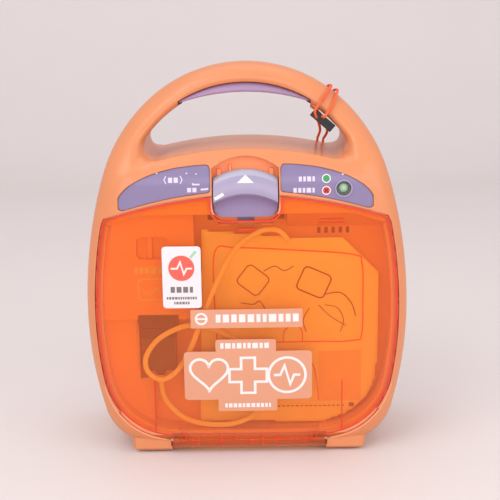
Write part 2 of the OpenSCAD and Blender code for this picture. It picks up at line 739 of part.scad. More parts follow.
front_housing();
rear_housing();
handle_grip();
label_panel_left();
label_panel_right();
status_lens();
status_bezel();
status_disc();
status_actuator();
inner_deck();
shock_guard();
shock_button();
shock_spring();
shock_switch();
pads_socket();
pads_plug();
pads_cable();
pads_pouch();
main_board();
capacitor();
transformer();
relay();
speaker();
battery_contacts();
battery_pack();
battery_label();
battery_latch();
latch_spring();
lid();
hinge_pin_left();
hinge_pin_right();
name_plate();
main_decal();
lid_sticker();
opening_lever();
lever_slide();
lever_spring();
lever_switch();
rear_label();
housing_screw(0);  // housing_screw_1
housing_screw(1);  // housing_screw_2
housing_screw(2);  // housing_screw_3
housing_screw(3);  // housing_screw_4
housing_screw(4);  // housing_screw_5
housing_screw(5);  // housing_screw_6
foot(0);  // foot_1
foot(1);  // foot_2
foot(2);  // foot_3
foot(3);  // foot_4
tag_cord();
cord_clip();
expiry_tag();
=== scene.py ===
import math
import random

import bmesh
import bpy
from mathutils import Matrix, Vector


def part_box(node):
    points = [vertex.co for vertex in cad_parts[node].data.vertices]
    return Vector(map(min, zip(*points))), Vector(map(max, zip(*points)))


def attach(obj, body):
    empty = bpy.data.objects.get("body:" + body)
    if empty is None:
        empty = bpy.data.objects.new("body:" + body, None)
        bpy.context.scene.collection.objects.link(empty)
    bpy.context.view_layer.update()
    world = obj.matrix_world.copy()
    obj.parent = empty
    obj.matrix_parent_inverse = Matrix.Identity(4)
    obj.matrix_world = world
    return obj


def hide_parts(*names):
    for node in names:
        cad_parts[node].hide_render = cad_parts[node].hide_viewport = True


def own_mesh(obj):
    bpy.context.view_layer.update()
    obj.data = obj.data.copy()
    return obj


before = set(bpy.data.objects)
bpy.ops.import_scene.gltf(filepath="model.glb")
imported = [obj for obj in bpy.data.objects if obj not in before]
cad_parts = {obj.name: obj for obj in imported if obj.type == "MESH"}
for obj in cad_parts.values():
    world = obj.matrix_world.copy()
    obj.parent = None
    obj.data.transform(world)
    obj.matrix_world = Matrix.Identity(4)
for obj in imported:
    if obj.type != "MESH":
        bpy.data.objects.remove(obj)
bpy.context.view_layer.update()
MM = 0.001

# ---- Sizes taken from the frame, in millimetres ----


def cad_box(node):
    low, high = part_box(node)
    return low / MM, high / MM


case_low, case_high = cad_box("front_housing")
back_low, back_high = cad_box("rear_housing")
BODY_W = round(case_high.x - case_low.x, 1)
BODY_H = round(case_high.z, 1)
BODY_D = round(2 * back_high.y, 1)
PARTING_Y = round(case_high.y, 1)
WALL = 2.8
FRONT_WALL = 5.2
LEDGE_T = 2.6
LID_T = 2.2
LID_GAP = 1.0

# Front view of the case: a top arc, two side arcs and a corner arc
BASE_Z = 2.8
TOP_R = 93.0
WAIST_Z = 95.8
LOW_R = 262.0
CORNER_R = 34.0
TOP_C = (0.0, BODY_H - TOP_R)
RISE = TOP_C[1] - WAIST_Z
SIDE_R = ((BODY_W / 2) ** 2 + RISE**2 - TOP_R**2) / (BODY_W - 2 * TOP_R)
SIDE_C = (BODY_W / 2 - SIDE_R, WAIST_Z)
SIDE_A = math.atan2(RISE, SIDE_R - BODY_W / 2)
LOW_C = (BODY_W / 2 - LOW_R, WAIST_Z)
CORNER_A = math.asin((WAIST_Z - BASE_Z - CORNER_R) / (LOW_R - CORNER_R))
CORNER_C = (LOW_C[0] + (LOW_R - CORNER_R) * math.cos(CORNER_A), BASE_Z + CORNER_R)
FRONT_EDGE = (16.0, 14.0)
BACK_EDGE = (20.0, 18.0)
MIDDLE = (0.0, 110.0)

# Handle opening, window, lid and hinge
OPENING_R = 78.3
SILL_Z = 200.5
SILL_R = 224.0
OPENING_CORNER_R = 8.0
GRIP_TOP_R = 80.8
GRIP_LOW_Z = 232.5
GRIP_LOW_R = 136.0
GRIP_HALF = 42.0
LID_IN = 7.2
LID_CORNER_R = 47.5
LID_LOW_Z = 12.5
LID_TOP_Z = 172.0
LID_TOP_R = 272.0
TAB_X = 50.0
HINGE = (-38.8, 8.2)
WINDOW_X = 20.8
WINDOW_LOW_Z = 156.4
WINDOW_TOP_Z = 196.0
WINDOW_TOP_R = 33.6
WINDOW_CORNER_R = 8.0
WELL_FRONT_Y = -39.4
STATUS_AT = (60.8, 175.7)

# ---- Surfaces of the case ----


def smooth_step(t):
    u = min(1.0, max(0.0, t))
    return u * u * (3 - 2 * u)


def edge_fall(d, edge):
    """How far a rounded edge falls back at a distance d inside the outline."""
    u = 1 - min(1.0, max(0.0, d / edge[0]))
    return edge[1] * (1 - math.sqrt(1 - u * u))


def front_y(x, z):
    crown = 2.2 * (2 * x / BODY_W) ** 2 + 4.5 * max(0.0, 1 - z / WAIST_Z) ** 2
    return -(BODY_D / 2 - 0.2) + crown + 26 * smooth_step((z - 178) / 60)


def back_y(z):
    return BODY_D / 2 - 30.5 * smooth_step((z - 165) / 73)


def edge_dist(x, z):
    """Distance from a point of the front view to the case's outline."""
    a = abs(x)
    if z - TOP_C[1] > a * math.tan(SIDE_A):
        return TOP_R - math.hypot(a, z - TOP_C[1])
    if z > WAIST_Z:
        return SIDE_R - math.hypot(a - SIDE_C[0], z - SIDE_C[1])
    if a > CORNER_C[0] and math.atan2(z - CORNER_C[1], a - CORNER_C[0]) < -CORNER_A:
        return CORNER_R - math.hypot(a - CORNER_C[0], z - CORNER_C[1])
    return min(LOW_R - math.hypot(a - LOW_C[0], z - LOW_C[1]), z - BASE_Z)


def skin_y(x, z):
    return front_y(x, z) + edge_fall(edge_dist(x, z), FRONT_EDGE)


def rear_y(x, z):
    return back_y(z) - edge_fall(edge_dist(x, z), BACK_EDGE)


# ---- Outlines in the front view ----


def arc(centre, r, start, end, n):
    """n points along an arc, angles in radians, without its last point."""
    angles = [start + (end - start) * i / n for i in range(n)]
    return [(centre[0] + r * math.cos(a), centre[1] + r * math.sin(a)) for a in angles]


def both_sides(half):
    """A closed outline from its right half, which runs from the bottom to the top."""
    return half + [(-x, z) for x, z in reversed(half[1:-1])]


def case_ring(d):
    half = [(CORNER_C[0] * i / 6, BASE_Z + d) for i in range(6)]
    half += arc(CORNER_C, CORNER_R - d, -math.pi / 2, -CORNER_A, 12)
    half += arc(LOW_C, LOW_R - d, -CORNER_A, 0, 10)
    half += arc(SIDE_C, SIDE_R - d, 0, SIDE_A, 10)
    half += arc(TOP_C, TOP_R - d, SIDE_A, math.pi / 2, 36)
    return both_sides(half + [(0.0, BODY_H - d)])


def lid_half(grow):
    """Right half of the lid's outline, grown outwards, without the window's notch."""
    corner_z = LID_LOW_Z + LID_CORNER_R
    reach = LOW_R - LID_IN - LID_CORNER_R
    turn = math.asin((WAIST_Z - corner_z) / reach)
    centre = (LOW_C[0] + reach * math.cos(turn), corner_z)
    r = LID_CORNER_R + grow
    start = -math.acos((TAB_X + grow - centre[0]) / r)
    half = [(0.0, HINGE[1] - grow), (TAB_X + grow, HINGE[1] - grow)]
    half += arc(centre, r, start, -turn, 24)
    half += arc(LOW_C, LOW_R - LID_IN + grow, -turn, 0, 14)
    half += arc(SIDE_C, SIDE_R - LID_IN + grow, 0, math.radians(12.3), 14)
    top_c = (0.0, LID_TOP_Z - LID_TOP_R)
    half += arc(top_c, LID_TOP_R + grow, math.radians(71), math.pi / 2, 24)
    return half + [(0.0, LID_TOP_Z + grow)]


def rounded_rect(x0, x1, z0, z1, r, n=8):
    """A rectangle with rounded corners, anticlockwise."""
    quarter = math.pi / 2
    corners = [(x1 - r, z0 + r, -1), (x1 - r, z1 - r, 0), (x0 + r, z1 - r, 1), (x0 + r, z0 + r, 2)]
    points = []
    for x, z, q in corners:
        points += arc((x, z), r, q * quarter, (q + 1) * quarter, n)
        points.append((x + r * math.cos((q + 1) * quarter), z + r * math.sin((q + 1) * quarter)))
    return points


def window_outline(grow=0.0):
    """The lever's window: round low corners and an arched top."""
    half = [(0.0, WINDOW_LOW_Z - grow)]
    corner = (WINDOW_X - WINDOW_CORNER_R, WINDOW_LOW_Z + WINDOW_CORNER_R)
    half += arc(corner, WINDOW_CORNER_R + grow, -math.pi / 2, 0, 10)
    half.append((WINDOW_X + grow, corner[1]))
    top_c = (0.0, WINDOW_TOP_Z - WINDOW_TOP_R)
    r = WINDOW_TOP_R + grow
    start = math.acos((WINDOW_X + grow - 1.2) / r)
    half += arc((WINDOW_X + grow - 1.2, top_c[1] + r * math.sin(start) - 1.2), 1.2, 0, start, 4)
    half += arc(top_c, r, start, math.pi / 2, 16)
    return both_sides(half + [(0.0, WINDOW_TOP_Z + grow)])


def opening_corner():
    """Centre of the fillet between the handle opening's arc and its sill."""
    a = OPENING_R - OPENING_CORNER_R
    b = SILL_R + OPENING_CORNER_R
    sill_c = SILL_Z - SILL_R
    gap = TOP_C[1] - sill_c
    up = (b * b - a * a + gap * gap) / (2 * gap)
    return math.sqrt(b * b - up * up), sill_c + up


def opening_points():
    """Right half of the handle opening from the sill to the top: point, outward normal, flare."""
    cx, cz = opening_corner()
    sill_c = SILL_Z - SILL_R
    sill_a = math.atan2(cz - sill_c, cx)
    top_a = math.atan2(cz - TOP_C[1], cx)
    points = []
    for i in range(16):
        a = math.pi / 2 + (sill_a - math.pi / 2) * i / 16
        normal = (-math.cos(a), -math.sin(a))
        points.append(((SILL_R * math.cos(a), sill_c + SILL_R * math.sin(a)), normal, 0.7))
    flares = [(-104, 0.7), (-76, 1.6), (-62, 4.5), (-51, 8.2), (-37, 10.4), (-10, 8.6), (38, 7.5)]
    low = sill_a - math.pi
    for i in range(18):
        a = low + (top_a - low) * i / 18
        degrees = math.degrees(a)
        flare = flares[-1][1]
        for (a0, f0), (a1, f1) in zip(flares, flares[1:]):
            if a0 <= degrees <= a1:
                flare = f0 + (f1 - f0) * smooth_step((degrees - a0) / (a1 - a0))
        normal = (math.cos(a), math.sin(a))
        place = (cx + OPENING_CORNER_R * normal[0], cz + OPENING_CORNER_R * normal[1])
        points.append((place, normal, flare))
    for i in range(31):
        a = top_a + (math.pi / 2 - top_a) * i / 30
        normal = (math.cos(a), math.sin(a))
        place = (OPENING_R * normal[0], TOP_C[1] + OPENING_R * normal[1])
        points.append((place, normal, 7.5))
    return points


def panel_cols(grow=0.0):
    """Columns of the right label panel as (x, lowest z, highest z)."""
    cols = []
    for x in [22 + 57 * (i / 56) for i in range(57)]:
        u = (x - 22) / 57.8
        round_in = 2.6 - math.sqrt(max(0.0, 6.76 - (24.6 - x) ** 2)) if x < 24.6 else 0.0
        tip = 5.6 - math.sqrt(max(0.0, 31.4 - (x - 74) ** 2)) if x > 74 else 0.0
        low = 175.4 - x * x / 480 + 0.5 * round_in + 0.75 * tip - grow
        high = 191 - 23.5 * (1 - (1 - u * u) ** 0.55) - round_in + grow
        cols.append((x + grow * (-1 if x < 40 else 1), low, high))
    return cols


def card_cols(x0, x1, z0, z1, r, n=16):
    """Columns of a rectangle with rounded corners."""
    steps = [0.0, 0.06, 0.2, 0.45, 1.0]
    xs = [x0 + r * t for t in steps]
    xs += [x0 + r + (x1 - x0 - 2 * r) * i / n for i in range(1, n)]
    xs += [x1 - r * t for t in reversed(steps)]
    cols = []
    for x in xs:
        e = max(0.0, r - min(x - x0, x1 - x))
        c = r - math.sqrt(max(0.0, r * r - e * e))
        cols.append((x, z0 + 0.97 * c, z1 - 0.97 * c))
    return cols


# ---- Mesh tools ----


def new_piece(name, points, faces, material, smooth=True):
    """A mesh object from points in millimetres."""
    mesh = bpy.data.meshes.new(name)
    mesh.from_pydata([Vector(p) * MM for p in points], [], faces)
    mesh.update()
    piece = bpy.data.objects.new(name, mesh)
    bpy.context.scene.collection.objects.link(piece)
    if material is not None:
        mesh.materials.append(material)
    mesh.polygons.foreach_set("use_smooth", [smooth] * len(mesh.polygons))
    return piece


def outwards(piece):
    """Merges doubled points and turns every face outwards."""
    bm = bmesh.new()
    bm.from_mesh(piece.data)
    bmesh.ops.remove_doubles(bm, verts=bm.verts, dist=1e-6)
    bmesh.ops.recalc_face_normals(bm, faces=bm.faces)
    bm.to_mesh(piece.data)
    bm.free()
    return piece


def stack(name, rings, material=None, middles=(None, None)):
    """A closed solid through rings of equal length. A middle closes an end with a fan."""
    n = len(rings[0])
    points = [p for ring in rings for p in ring]
    faces = []
    for i in range(len(rings) - 1):
        for j in range(n):
            a, b = i * n + j, i * n + (j + 1) % n
            faces.append((a, b, b + n, a + n))
    for end, middle in enumerate(middles):
        first = (len(rings) - 1) * n if end else 0
        if middle is None:
            strip = [(j, j + 1, n - 2 - j, n - 1 - j) for j in range(n // 2 - 1)]
            faces += [tuple(first + k for k in face) for face in strip]
        else:
            points.append(middle)
            faces += [(first + j, first + (j + 1) % n, len(points) - 1) for j in range(n)]
    return outwards(new_piece(name, points, faces, material))


def sheet_solid(name, cols, rows, t0, t1, material=None, flip=False):
    """A sheet that follows the case's front, from depth t0 to depth t1 below it."""
    side = -1 if flip else 1
    rings = []
    for x, low, high in cols:
        zs = [low + (high - low) * j / rows for j in range(rows + 1)]
        front = [(side * x, skin_y(x, z) + t0, z) for z in zs]
        back = [(side * x, skin_y(x, z) + t1, z) for z in reversed(zs)]
        rings.append(front + back)
    return stack(name, rings, material)


def prism(name, outline, y0, y1):
    """An outline of the front view made solid from y0 to y1."""
    n = len(outline)
    points = [(x, y, z) for y in (y0, y1) for x, z in outline]
    faces = [(j, (j + 1) % n, n + (j + 1) % n, n + j) for j in range(n)]
    faces += [tuple(range(n)), tuple(reversed(range(n, 2 * n)))]
    return outwards(new_piece(name, points, faces, None))


def block(name, low, high, material=None, round_r=0.0):
    """A box with rounded edges."""
    piece = prism(name, [(low[0], low[2]), (high[0], low[2]), (high[0], high[2]), (low[0], high[2])],
                  low[1], high[1])
    if material is not None:
        piece.data.materials.append(material)
    if round_r:
        bevel(piece, round_r)
    return piece


def bar(name, start, end, r, material=None, n=48, end_round=0.0):
    """A round bar between two points."""
    a, b = Vector(start), Vector(end)
    along = (b - a).normalized()
    side = along.orthogonal().normalized()
    other = along.cross(side)
    stations = [(0.0, r), ((b - a).length, r)]
    if end_round:
        turns = [math.radians(d) for d in (0, 30, 60, 90)]
        near = [(end_round * (1 - math.sin(t)), r - end_round * (1 - math.cos(t))) for t in reversed(turns)]
        stations = near + [((b - a).length - s, q) for s, q in reversed(near)]
    rings = []
    for s, q in stations:
        centre = a + along * s
        angles = [2 * math.pi * k / n for k in range(n)]
        rings.append([tuple(centre + q * (math.cos(t) * side + math.sin(t) * other)) for t in angles])
    return stack(name, rings, material, (tuple(a), tuple(b)))


def finished(piece):
    """Replaces the piece's mesh by its evaluated one and removes its modifiers."""
    bpy.context.view_layer.update()
    graph = bpy.context.evaluated_depsgraph_get()
    mesh = bpy.data.meshes.new_from_object(piece.evaluated_get(graph))
    piece.modifiers.clear()
    piece.data = mesh
    return piece


def bevel(piece, width, segments=3, angle=35):
    edge = piece.modifiers.new("edge", "BEVEL")
    edge.width = width * MM
    edge.segments = segments
    edge.limit_method = "ANGLE"
    edge.angle_limit = math.radians(angle)
    finished(piece)
    crisp(piece)
    return piece


def crisp(piece, angle=32):
    """Smooth shading with hard edges where faces turn sharply."""
    piece.data.polygons.foreach_set("use_smooth", [True] * len(piece.data.polygons))
    piece.data.set_sharp_from_angle(angle=math.radians(angle))
    return piece


def carve(piece, tool, how="DIFFERENCE"):
    """Cuts, joins or intersects a piece with a tool, which is then thrown away."""
    cut = piece.modifiers.new("cut", "BOOLEAN")
    cut.operation = how
    cut.solver = "MANIFOLD"
    cut.object = tool
    finished(piece)
    bpy.data.objects.remove(tool)
    return piece


def dress(piece, material):
    """Gives the whole piece one material."""
    piece.data.materials.clear()
    piece.data.materials.append(material)
    piece.data.polygons.foreach_set("material_index", [0] * len(piece.data.polygons))
    return piece


def joined(name, pieces):
    """Joins pieces into one object."""
    bm = bmesh.new()
    materials = []
    for piece in pieces:
        start = len(bm.faces)
        bm.from_mesh(piece.data)
        bm.faces.ensure_lookup_table()
        for face in bm.faces[start:]:
            material = piece.data.materials[face.material_index] if piece.data.materials else None
            if material not in materials:
                materials.append(material)
            face.material_index = materials.index(material)
    mesh = bpy.data.meshes.new(name)
    bm.to_mesh(mesh)
    bm.free()
    for material in materials:
        if material is not None:
            mesh.materials.append(material)
    whole = bpy.data.objects.new(name, mesh)
    bpy.context.scene.collection.objects.link(whole)
    for piece in pieces:
        bpy.data.objects.remove(piece)
    return whole


def flat_at(y):
    """A surface function for a plane that faces the front."""
    return lambda x, z: y


def ribbon(points, width, surface, lift, closed=False):
    """Points and faces of a flat line of even width that lies on a surface y(x, z)."""
    n = len(points)
    spots, faces = [], []
    for i, (x, z) in enumerate(points):
        before = points[(i - 1) % n] if closed or i else points[i]
        after = points[(i + 1) % n] if closed or i < n - 1 else points[i]
        d_in = Vector((x - before[0], z - before[1]))
        d_out = Vector((after[0] - x, after[1] - z))
        d_in = d_in.normalized() if d_in.length else d_out.normalized()
        d_out = d_out.normalized() if d_out.length else d_in
        normal = Vector((-(d_in + d_out).y, (d_in + d_out).x)).normalized()
        mitre = max(0.4, abs(normal.dot(Vector((-d_in.y, d_in.x)))))
        for side in (-1, 1):
            px = x + side * normal.x * width / 2 / mitre
            pz = z + side * normal.y * width / 2 / mitre
            spots.append((px, surface(px, pz) - lift, pz))
    for i in range(n if closed else n - 1):
        a, b = 2 * i, 2 * ((i + 1) % n)
        faces.append((a, b, b + 1, a + 1))
    return spots, faces


def patch(outline, surface, lift):
    """Points and faces of a small filled shape that lies on a surface."""
    cx = sum(p[0] for p in outline) / len(outline)
    cz = sum(p[1] for p in outline) / len(outline)
    spots = [(x, surface(x, z) - lift, z) for x, z in outline + [(cx, cz)]]
    n = len(outline)
    return spots, [(i, (i + 1) % n, n) for i in range(n)]


def filled(rows, surface, lift, across=4):
    """Points and faces of a filled shape, from rows of (lowest x, highest x, z), laid on a surface."""
    spots, faces = [], []
    for x0, x1, z in rows:
        xs = [x0 + (x1 - x0) * k / across for k in range(across + 1)]
        spots += [(x, surface(x, z) - lift, z) for x in xs]
    n = across + 1
    for i in range(len(rows) - 1):
        faces += [(i * n + k, i * n + k + 1, i * n + k + 1 + n, i * n + k + n) for k in range(across)]
    return spots, faces


def marks(name, shapes, material, body):
    """One printed layer made of ribbons and patches."""
    points, faces = [], []
    for spots, sides in shapes:
        faces += [tuple(len(points) + k for k in side) for side in sides]
        points += spots
    layer = new_piece(name, points, faces, material, smooth=False)
    bm = bmesh.new()
    bm.from_mesh(layer.data)
    bm.normal_update()
    turned = [face for face in bm.faces if face.normal.y > 0]
    bmesh.ops.reverse_faces(bm, faces=turned)
    bm.to_mesh(layer.data)
    bm.free()
    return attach(layer, body)


def spline(points, n):
    """A smooth path through given points, with n steps between neighbours."""
    path = []
    last = len(points) - 1
    for i in range(last):
        a, b = Vector(points[max(i - 1, 0)]), Vector(points[i])
        c, d = Vector(points[i + 1]), Vector(points[min(i + 2, last)])
        for k in range(n):
            t = k / n
            path.append(0.5 * (2 * b + (c - a) * t + (2 * a - 5 * b + 4 * c - d) * t * t
                               + (3 * b - a - 3 * c + d) * t**3))
    return path + [Vector(points[last])]


def sweep(name, path, section, up, material):
    """Sweeps a closed section of (sideways, upwards) points along a path of vectors."""
    rings = []
    for i, p in enumerate(path):
        t = (path[min(i + 1, len(path) - 1)] - path[max(i - 1, 0)]).normalized()
        side = t.cross(Vector(up)).normalized()
        over = side.cross(t)
        rings.append([tuple(p + side * a + over * b) for a, b in section])
    return stack(name, rings, material, (tuple(path[0]), tuple(path[-1])))


# ---- Repeated pieces, grown by geometry trees ----


def new_tree(name, sizes):
    """A geometry tree with named inputs for its sizes and one for its finish."""
    tree = bpy.data.node_groups.new(name, "GeometryNodeTree")
    tree.interface.new_socket("Pieces", in_out="OUTPUT", socket_type="NodeSocketGeometry")
    for label, kind in sizes + [("Finish", "Material")]:
        tree.interface.new_socket(label, in_out="INPUT", socket_type="NodeSocket" + kind)
    return tree, tree.nodes.new("NodeGroupInput").outputs


def end_tree(tree, given, spread):
    """Ends a tree with real geometry, turned to face the front and moved to its middle, and its finish."""
    make, link = tree.nodes.new, tree.links.new
    solid = make("GeometryNodeRealizeInstances")
    place = make("GeometryNodeTransform")
    paint = make("GeometryNodeSetMaterial")
    link(spread, solid.inputs["Geometry"])
    link(solid.outputs["Geometry"], place.inputs["Geometry"])
    link(given["Middle"], place.inputs["Translation"])
    link(given["Turn"], place.inputs["Rotation"])
    link(place.outputs["Geometry"], paint.inputs["Geometry"])
    link(given["Finish"], paint.inputs["Material"])
    link(paint.outputs["Geometry"], make("NodeGroupOutput").inputs["Pieces"])
    return tree


def bar_row_tree():
    """Equal bars in a straight row."""
    tree, given = new_tree("bar_row", [("Count", "Int"), ("Step", "Vector"), ("Bar Size", "Vector"),
                                       ("Middle", "Vector"), ("Turn", "Vector")])
    make, link = tree.nodes.new, tree.links.new
    line = make("GeometryNodeMeshLine")
    single = make("GeometryNodeMeshCube")
    spread = make("GeometryNodeInstanceOnPoints")
    link(given["Count"], line.inputs["Count"])
    link(given["Step"], line.inputs["Offset"])
    link(given["Bar Size"], single.inputs["Size"])
    link(line.outputs["Mesh"], spread.inputs["Points"])
    link(single.outputs["Mesh"], spread.inputs["Instance"])
    return end_tree(tree, given, spread.outputs["Instances"])


def dot_grid_tree():
    """Small round studs on a grid, a little uneven in size."""
    tree, given = new_tree("dot_grid", [("Columns", "Int"), ("Rows", "Int"), ("Width", "Float"),
                                        ("Height", "Float"), ("Dot Radius", "Float"), ("Dot Depth", "Float"),
                                        ("Middle", "Vector"), ("Turn", "Vector")])
    make, link = tree.nodes.new, tree.links.new
    grid = make("GeometryNodeMeshGrid")
    stud = make("GeometryNodeMeshCylinder")
    stud.inputs["Vertices"].default_value = 14
    spread = make("GeometryNodeInstanceOnPoints")
    uneven = make("FunctionNodeRandomValue")
    uneven.data_type = "FLOAT"
    uneven.inputs[2].default_value = 0.85
    uneven.inputs[3].default_value = 1.1
    uneven.inputs["Seed"].default_value = 7
    for label, socket in (("Width", "Size X"), ("Height", "Size Y"), ("Columns", "Vertices X"),
                          ("Rows", "Vertices Y")):
        link(given[label], grid.inputs[socket])
    link(given["Dot Radius"], stud.inputs["Radius"])
    link(given["Dot Depth"], stud.inputs["Depth"])
    link(grid.outputs["Mesh"], spread.inputs["Points"])
    link(stud.outputs["Mesh"], spread.inputs["Instance"])
    link(uneven.outputs[1], spread.inputs["Scale"])
    return end_tree(tree, given, spread.outputs["Instances"])


def rib_ring_tree():
    """Ribs that point to the middle of a ring."""
    tree, given = new_tree("rib_ring", [("Count", "Int"), ("Radius", "Float"), ("Bar Size", "Vector"),
                                        ("Middle", "Vector"), ("Turn", "Vector")])
    make, link = tree.nodes.new, tree.links.new
    ring = make("GeometryNodeMeshCircle")
    single = make("GeometryNodeMeshCube")
    spot = make("GeometryNodeInputPosition")
    aim = make("FunctionNodeAlignRotationToVector")
    aim.axis = "X"
    spread = make("GeometryNodeInstanceOnPoints")
    link(given["Count"], ring.inputs["Vertices"])
    link(given["Radius"], ring.inputs["Radius"])
    link(given["Bar Size"], single.inputs["Size"])
    link(spot.outputs["Position"], aim.inputs["Vector"])
    link(ring.outputs["Mesh"], spread.inputs["Points"])
    link(single.outputs["Mesh"], spread.inputs["Instance"])
    link(aim.outputs["Rotation"], spread.inputs["Rotation"])
    return end_tree(tree, given, spread.outputs["Instances"])


BAR_ROW = bar_row_tree()
DOT_GRID = dot_grid_tree()
RIB_RING = rib_ring_tree()
FACE_FRONT = (math.pi / 2, 0.0, 0.0)


def grown(name, tree, sizes, edge=0.0):
    """The mesh that a tree makes from the sizes given by name, in millimetres, with its modifier removed."""
    piece = new_piece(name, [], [], None)
    grow = piece.modifiers.new("grow", "NODES")
    grow.node_group = tree
    lengths = ("Step", "Bar Size", "Middle", "Width", "Height", "Dot Radius", "Dot Depth", "Radius")
    for item in tree.interface.items_tree:
        if item.in_out != "INPUT":
            continue
        value = sizes[item.name]
        if item.name in lengths:
            value = [v * MM for v in value] if isinstance(value, (tuple, list)) else value * MM
        grow[item.identifier] = value
    finished(piece)
    if edge:
        bevel(piece, edge, 2)
    return crisp(piece)


# ---- Materials ----


def srgb(r, g, b):
    """A colour from 0-255 values, in linear light."""
    def linear(v):
        c = v / 255
        return c / 12.92 if c <= 0.04045 else ((c + 0.055) / 1.055) ** 2.4
    return (linear(r), linear(g), linear(b), 1.0)


def scaled(colour, k):
    return (min(1, colour[0] * k), min(1, colour[1] * k), min(1, colour[2] * k), 1.0)


def finish_of(name, colour, roughness=0.4, mottle=0.05, mottle_size=14.0, grain=0.45, grain_depth=0.012,
              metal=0.0, coat=0.0, soft_edge=0.0):
    """Moulded, painted or printed finish: slow colour drift, fine grain, uneven gloss, softened edges.

    Sizes are in millimetres."""
    material = bpy.data.materials.new(name)
    material.use_nodes = True
    tree = material.node_tree
    make, link = tree.nodes.new, tree.links.new
    shader = tree.nodes["Principled BSDF"]
    place = make("ShaderNodeTexCoord")
    drift = make("ShaderNodeTexNoise")
    drift.inputs["Scale"].default_value = 1 / (mottle_size * MM)
    drift.inputs["Detail"].default_value = 3.0
    link(place.outputs["Object"], drift.inputs["Vector"])
    tint = make("ShaderNodeMix")
    tint.data_type = "RGBA"
    tint.inputs["A"].default_value = scaled(colour, 1 - mottle)
    tint.inputs["B"].default_value = scaled(colour, 1 + mottle)
    link(drift.outputs["Fac"], tint.inputs["Factor"])
    link(tint.outputs["Result"], shader.inputs["Base Color"])
    speck = make("ShaderNodeTexNoise")
    speck.inputs["Scale"].default_value = 1 / (grain * MM)
    speck.inputs["Detail"].default_value = 2.0
    link(place.outputs["Object"], speck.inputs["Vector"])
    gloss = make("ShaderNodeMapRange")
    gloss.inputs["To Min"].default_value = roughness * 0.85
    gloss.inputs["To Max"].default_value = min(1.0, roughness * 1.15)
    link(drift.outputs["Fac"], gloss.inputs["Value"])
    link(gloss.outputs["Result"], shader.inputs["Roughness"])
    bump = make("ShaderNodeBump")
    bump.inputs["Distance"].default_value = grain_depth * MM
    link(speck.outputs["Fac"], bump.inputs["Height"])
    if soft_edge:
        edge = make("ShaderNodeBevel")
        edge.samples = 4
        edge.inputs["Radius"].default_value = soft_edge * MM
        link(edge.outputs["Normal"], bump.inputs["Normal"])
    link(bump.outputs["Normal"], shader.inputs["Normal"])
    shader.inputs["Metallic"].default_value = metal
    shader.inputs["Coat Weight"].default_value = coat
    shader.inputs["Coat Roughness"].default_value = 0.12
    return material


def tinted_clear(name, tint, body, cover, slant=0.0):
    """Tinted clear plastic: part of the light passes through, coloured, and part is scattered.

    Slant adds cover where the sheet is seen edge-on, as its path through the plastic is longer."""
    material = bpy.data.materials.new(name)
    material.use_nodes = True
    tree = material.node_tree
    make, link = tree.nodes.new, tree.links.new
    shader = tree.nodes["Principled BSDF"]
    shader.inputs["Base Color"].default_value = body
    shader.inputs["Roughness"].default_value = 0.12
    shader.inputs["Coat Weight"].default_value = 0.3
    shader.inputs["Coat Roughness"].default_value = 0.06
    place = make("ShaderNodeTexCoord")
    haze = make("ShaderNodeTexNoise")
    haze.inputs["Scale"].default_value = 1 / (24 * MM)
    haze.inputs["Detail"].default_value = 4.0
    link(place.outputs["Object"], haze.inputs["Vector"])
    level = make("ShaderNodeMapRange")
    level.inputs["To Min"].default_value = cover - 0.05
    level.inputs["To Max"].default_value = cover + 0.05
    link(haze.outputs["Fac"], level.inputs["Value"])
    ripple = make("ShaderNodeTexNoise")
    ripple.inputs["Scale"].default_value = 1 / (9 * MM)
    link(place.outputs["Object"], ripple.inputs["Vector"])
    bump = make("ShaderNodeBump")
    bump.inputs["Distance"].default_value = 0.03 * MM
    link(ripple.outputs["Fac"], bump.inputs["Height"])
    link(bump.outputs["Normal"], shader.inputs["Normal"])
    clear = make("ShaderNodeBsdfTransparent")
    clear.inputs["Color"].default_value = tint
    mix = make("ShaderNodeMixShader")
    graze = make("ShaderNodeLayerWeight")
    graze.inputs["Blend"].default_value = 0.7
    thick = make("ShaderNodeMath")
    thick.operation = "MULTIPLY_ADD"
    thick.inputs[1].default_value = slant
    link(graze.outputs["Facing"], thick.inputs[0])
    link(level.outputs["Result"], thick.inputs[2])
    link(thick.outputs["Value"], mix.inputs["Fac"])
    link(clear.outputs["BSDF"], mix.inputs[1])
    link(shader.outputs["BSDF"], mix.inputs[2])
    slope = make("ShaderNodeLayerWeight")
    slope.inputs["Blend"].default_value = 0.85
    shine = make("ShaderNodeMapRange")
    shine.inputs["To Min"].default_value = 0.003
    shine.inputs["To Max"].default_value = 0.12
    link(slope.outputs["Facing"], shine.inputs["Value"])
    gloss = make("ShaderNodeBsdfGlossy")
    gloss.inputs["Roughness"].default_value = 0.14
    link(bump.outputs["Normal"], gloss.inputs["Normal"])
    glazed = make("ShaderNodeMixShader")
    link(shine.outputs["Result"], glazed.inputs["Fac"])
    link(mix.outputs["Shader"], glazed.inputs[1])
    link(gloss.outputs["BSDF"], glazed.inputs[2])
    link(glazed.outputs["Shader"], tree.nodes["Material Output"].inputs["Surface"])
    return material


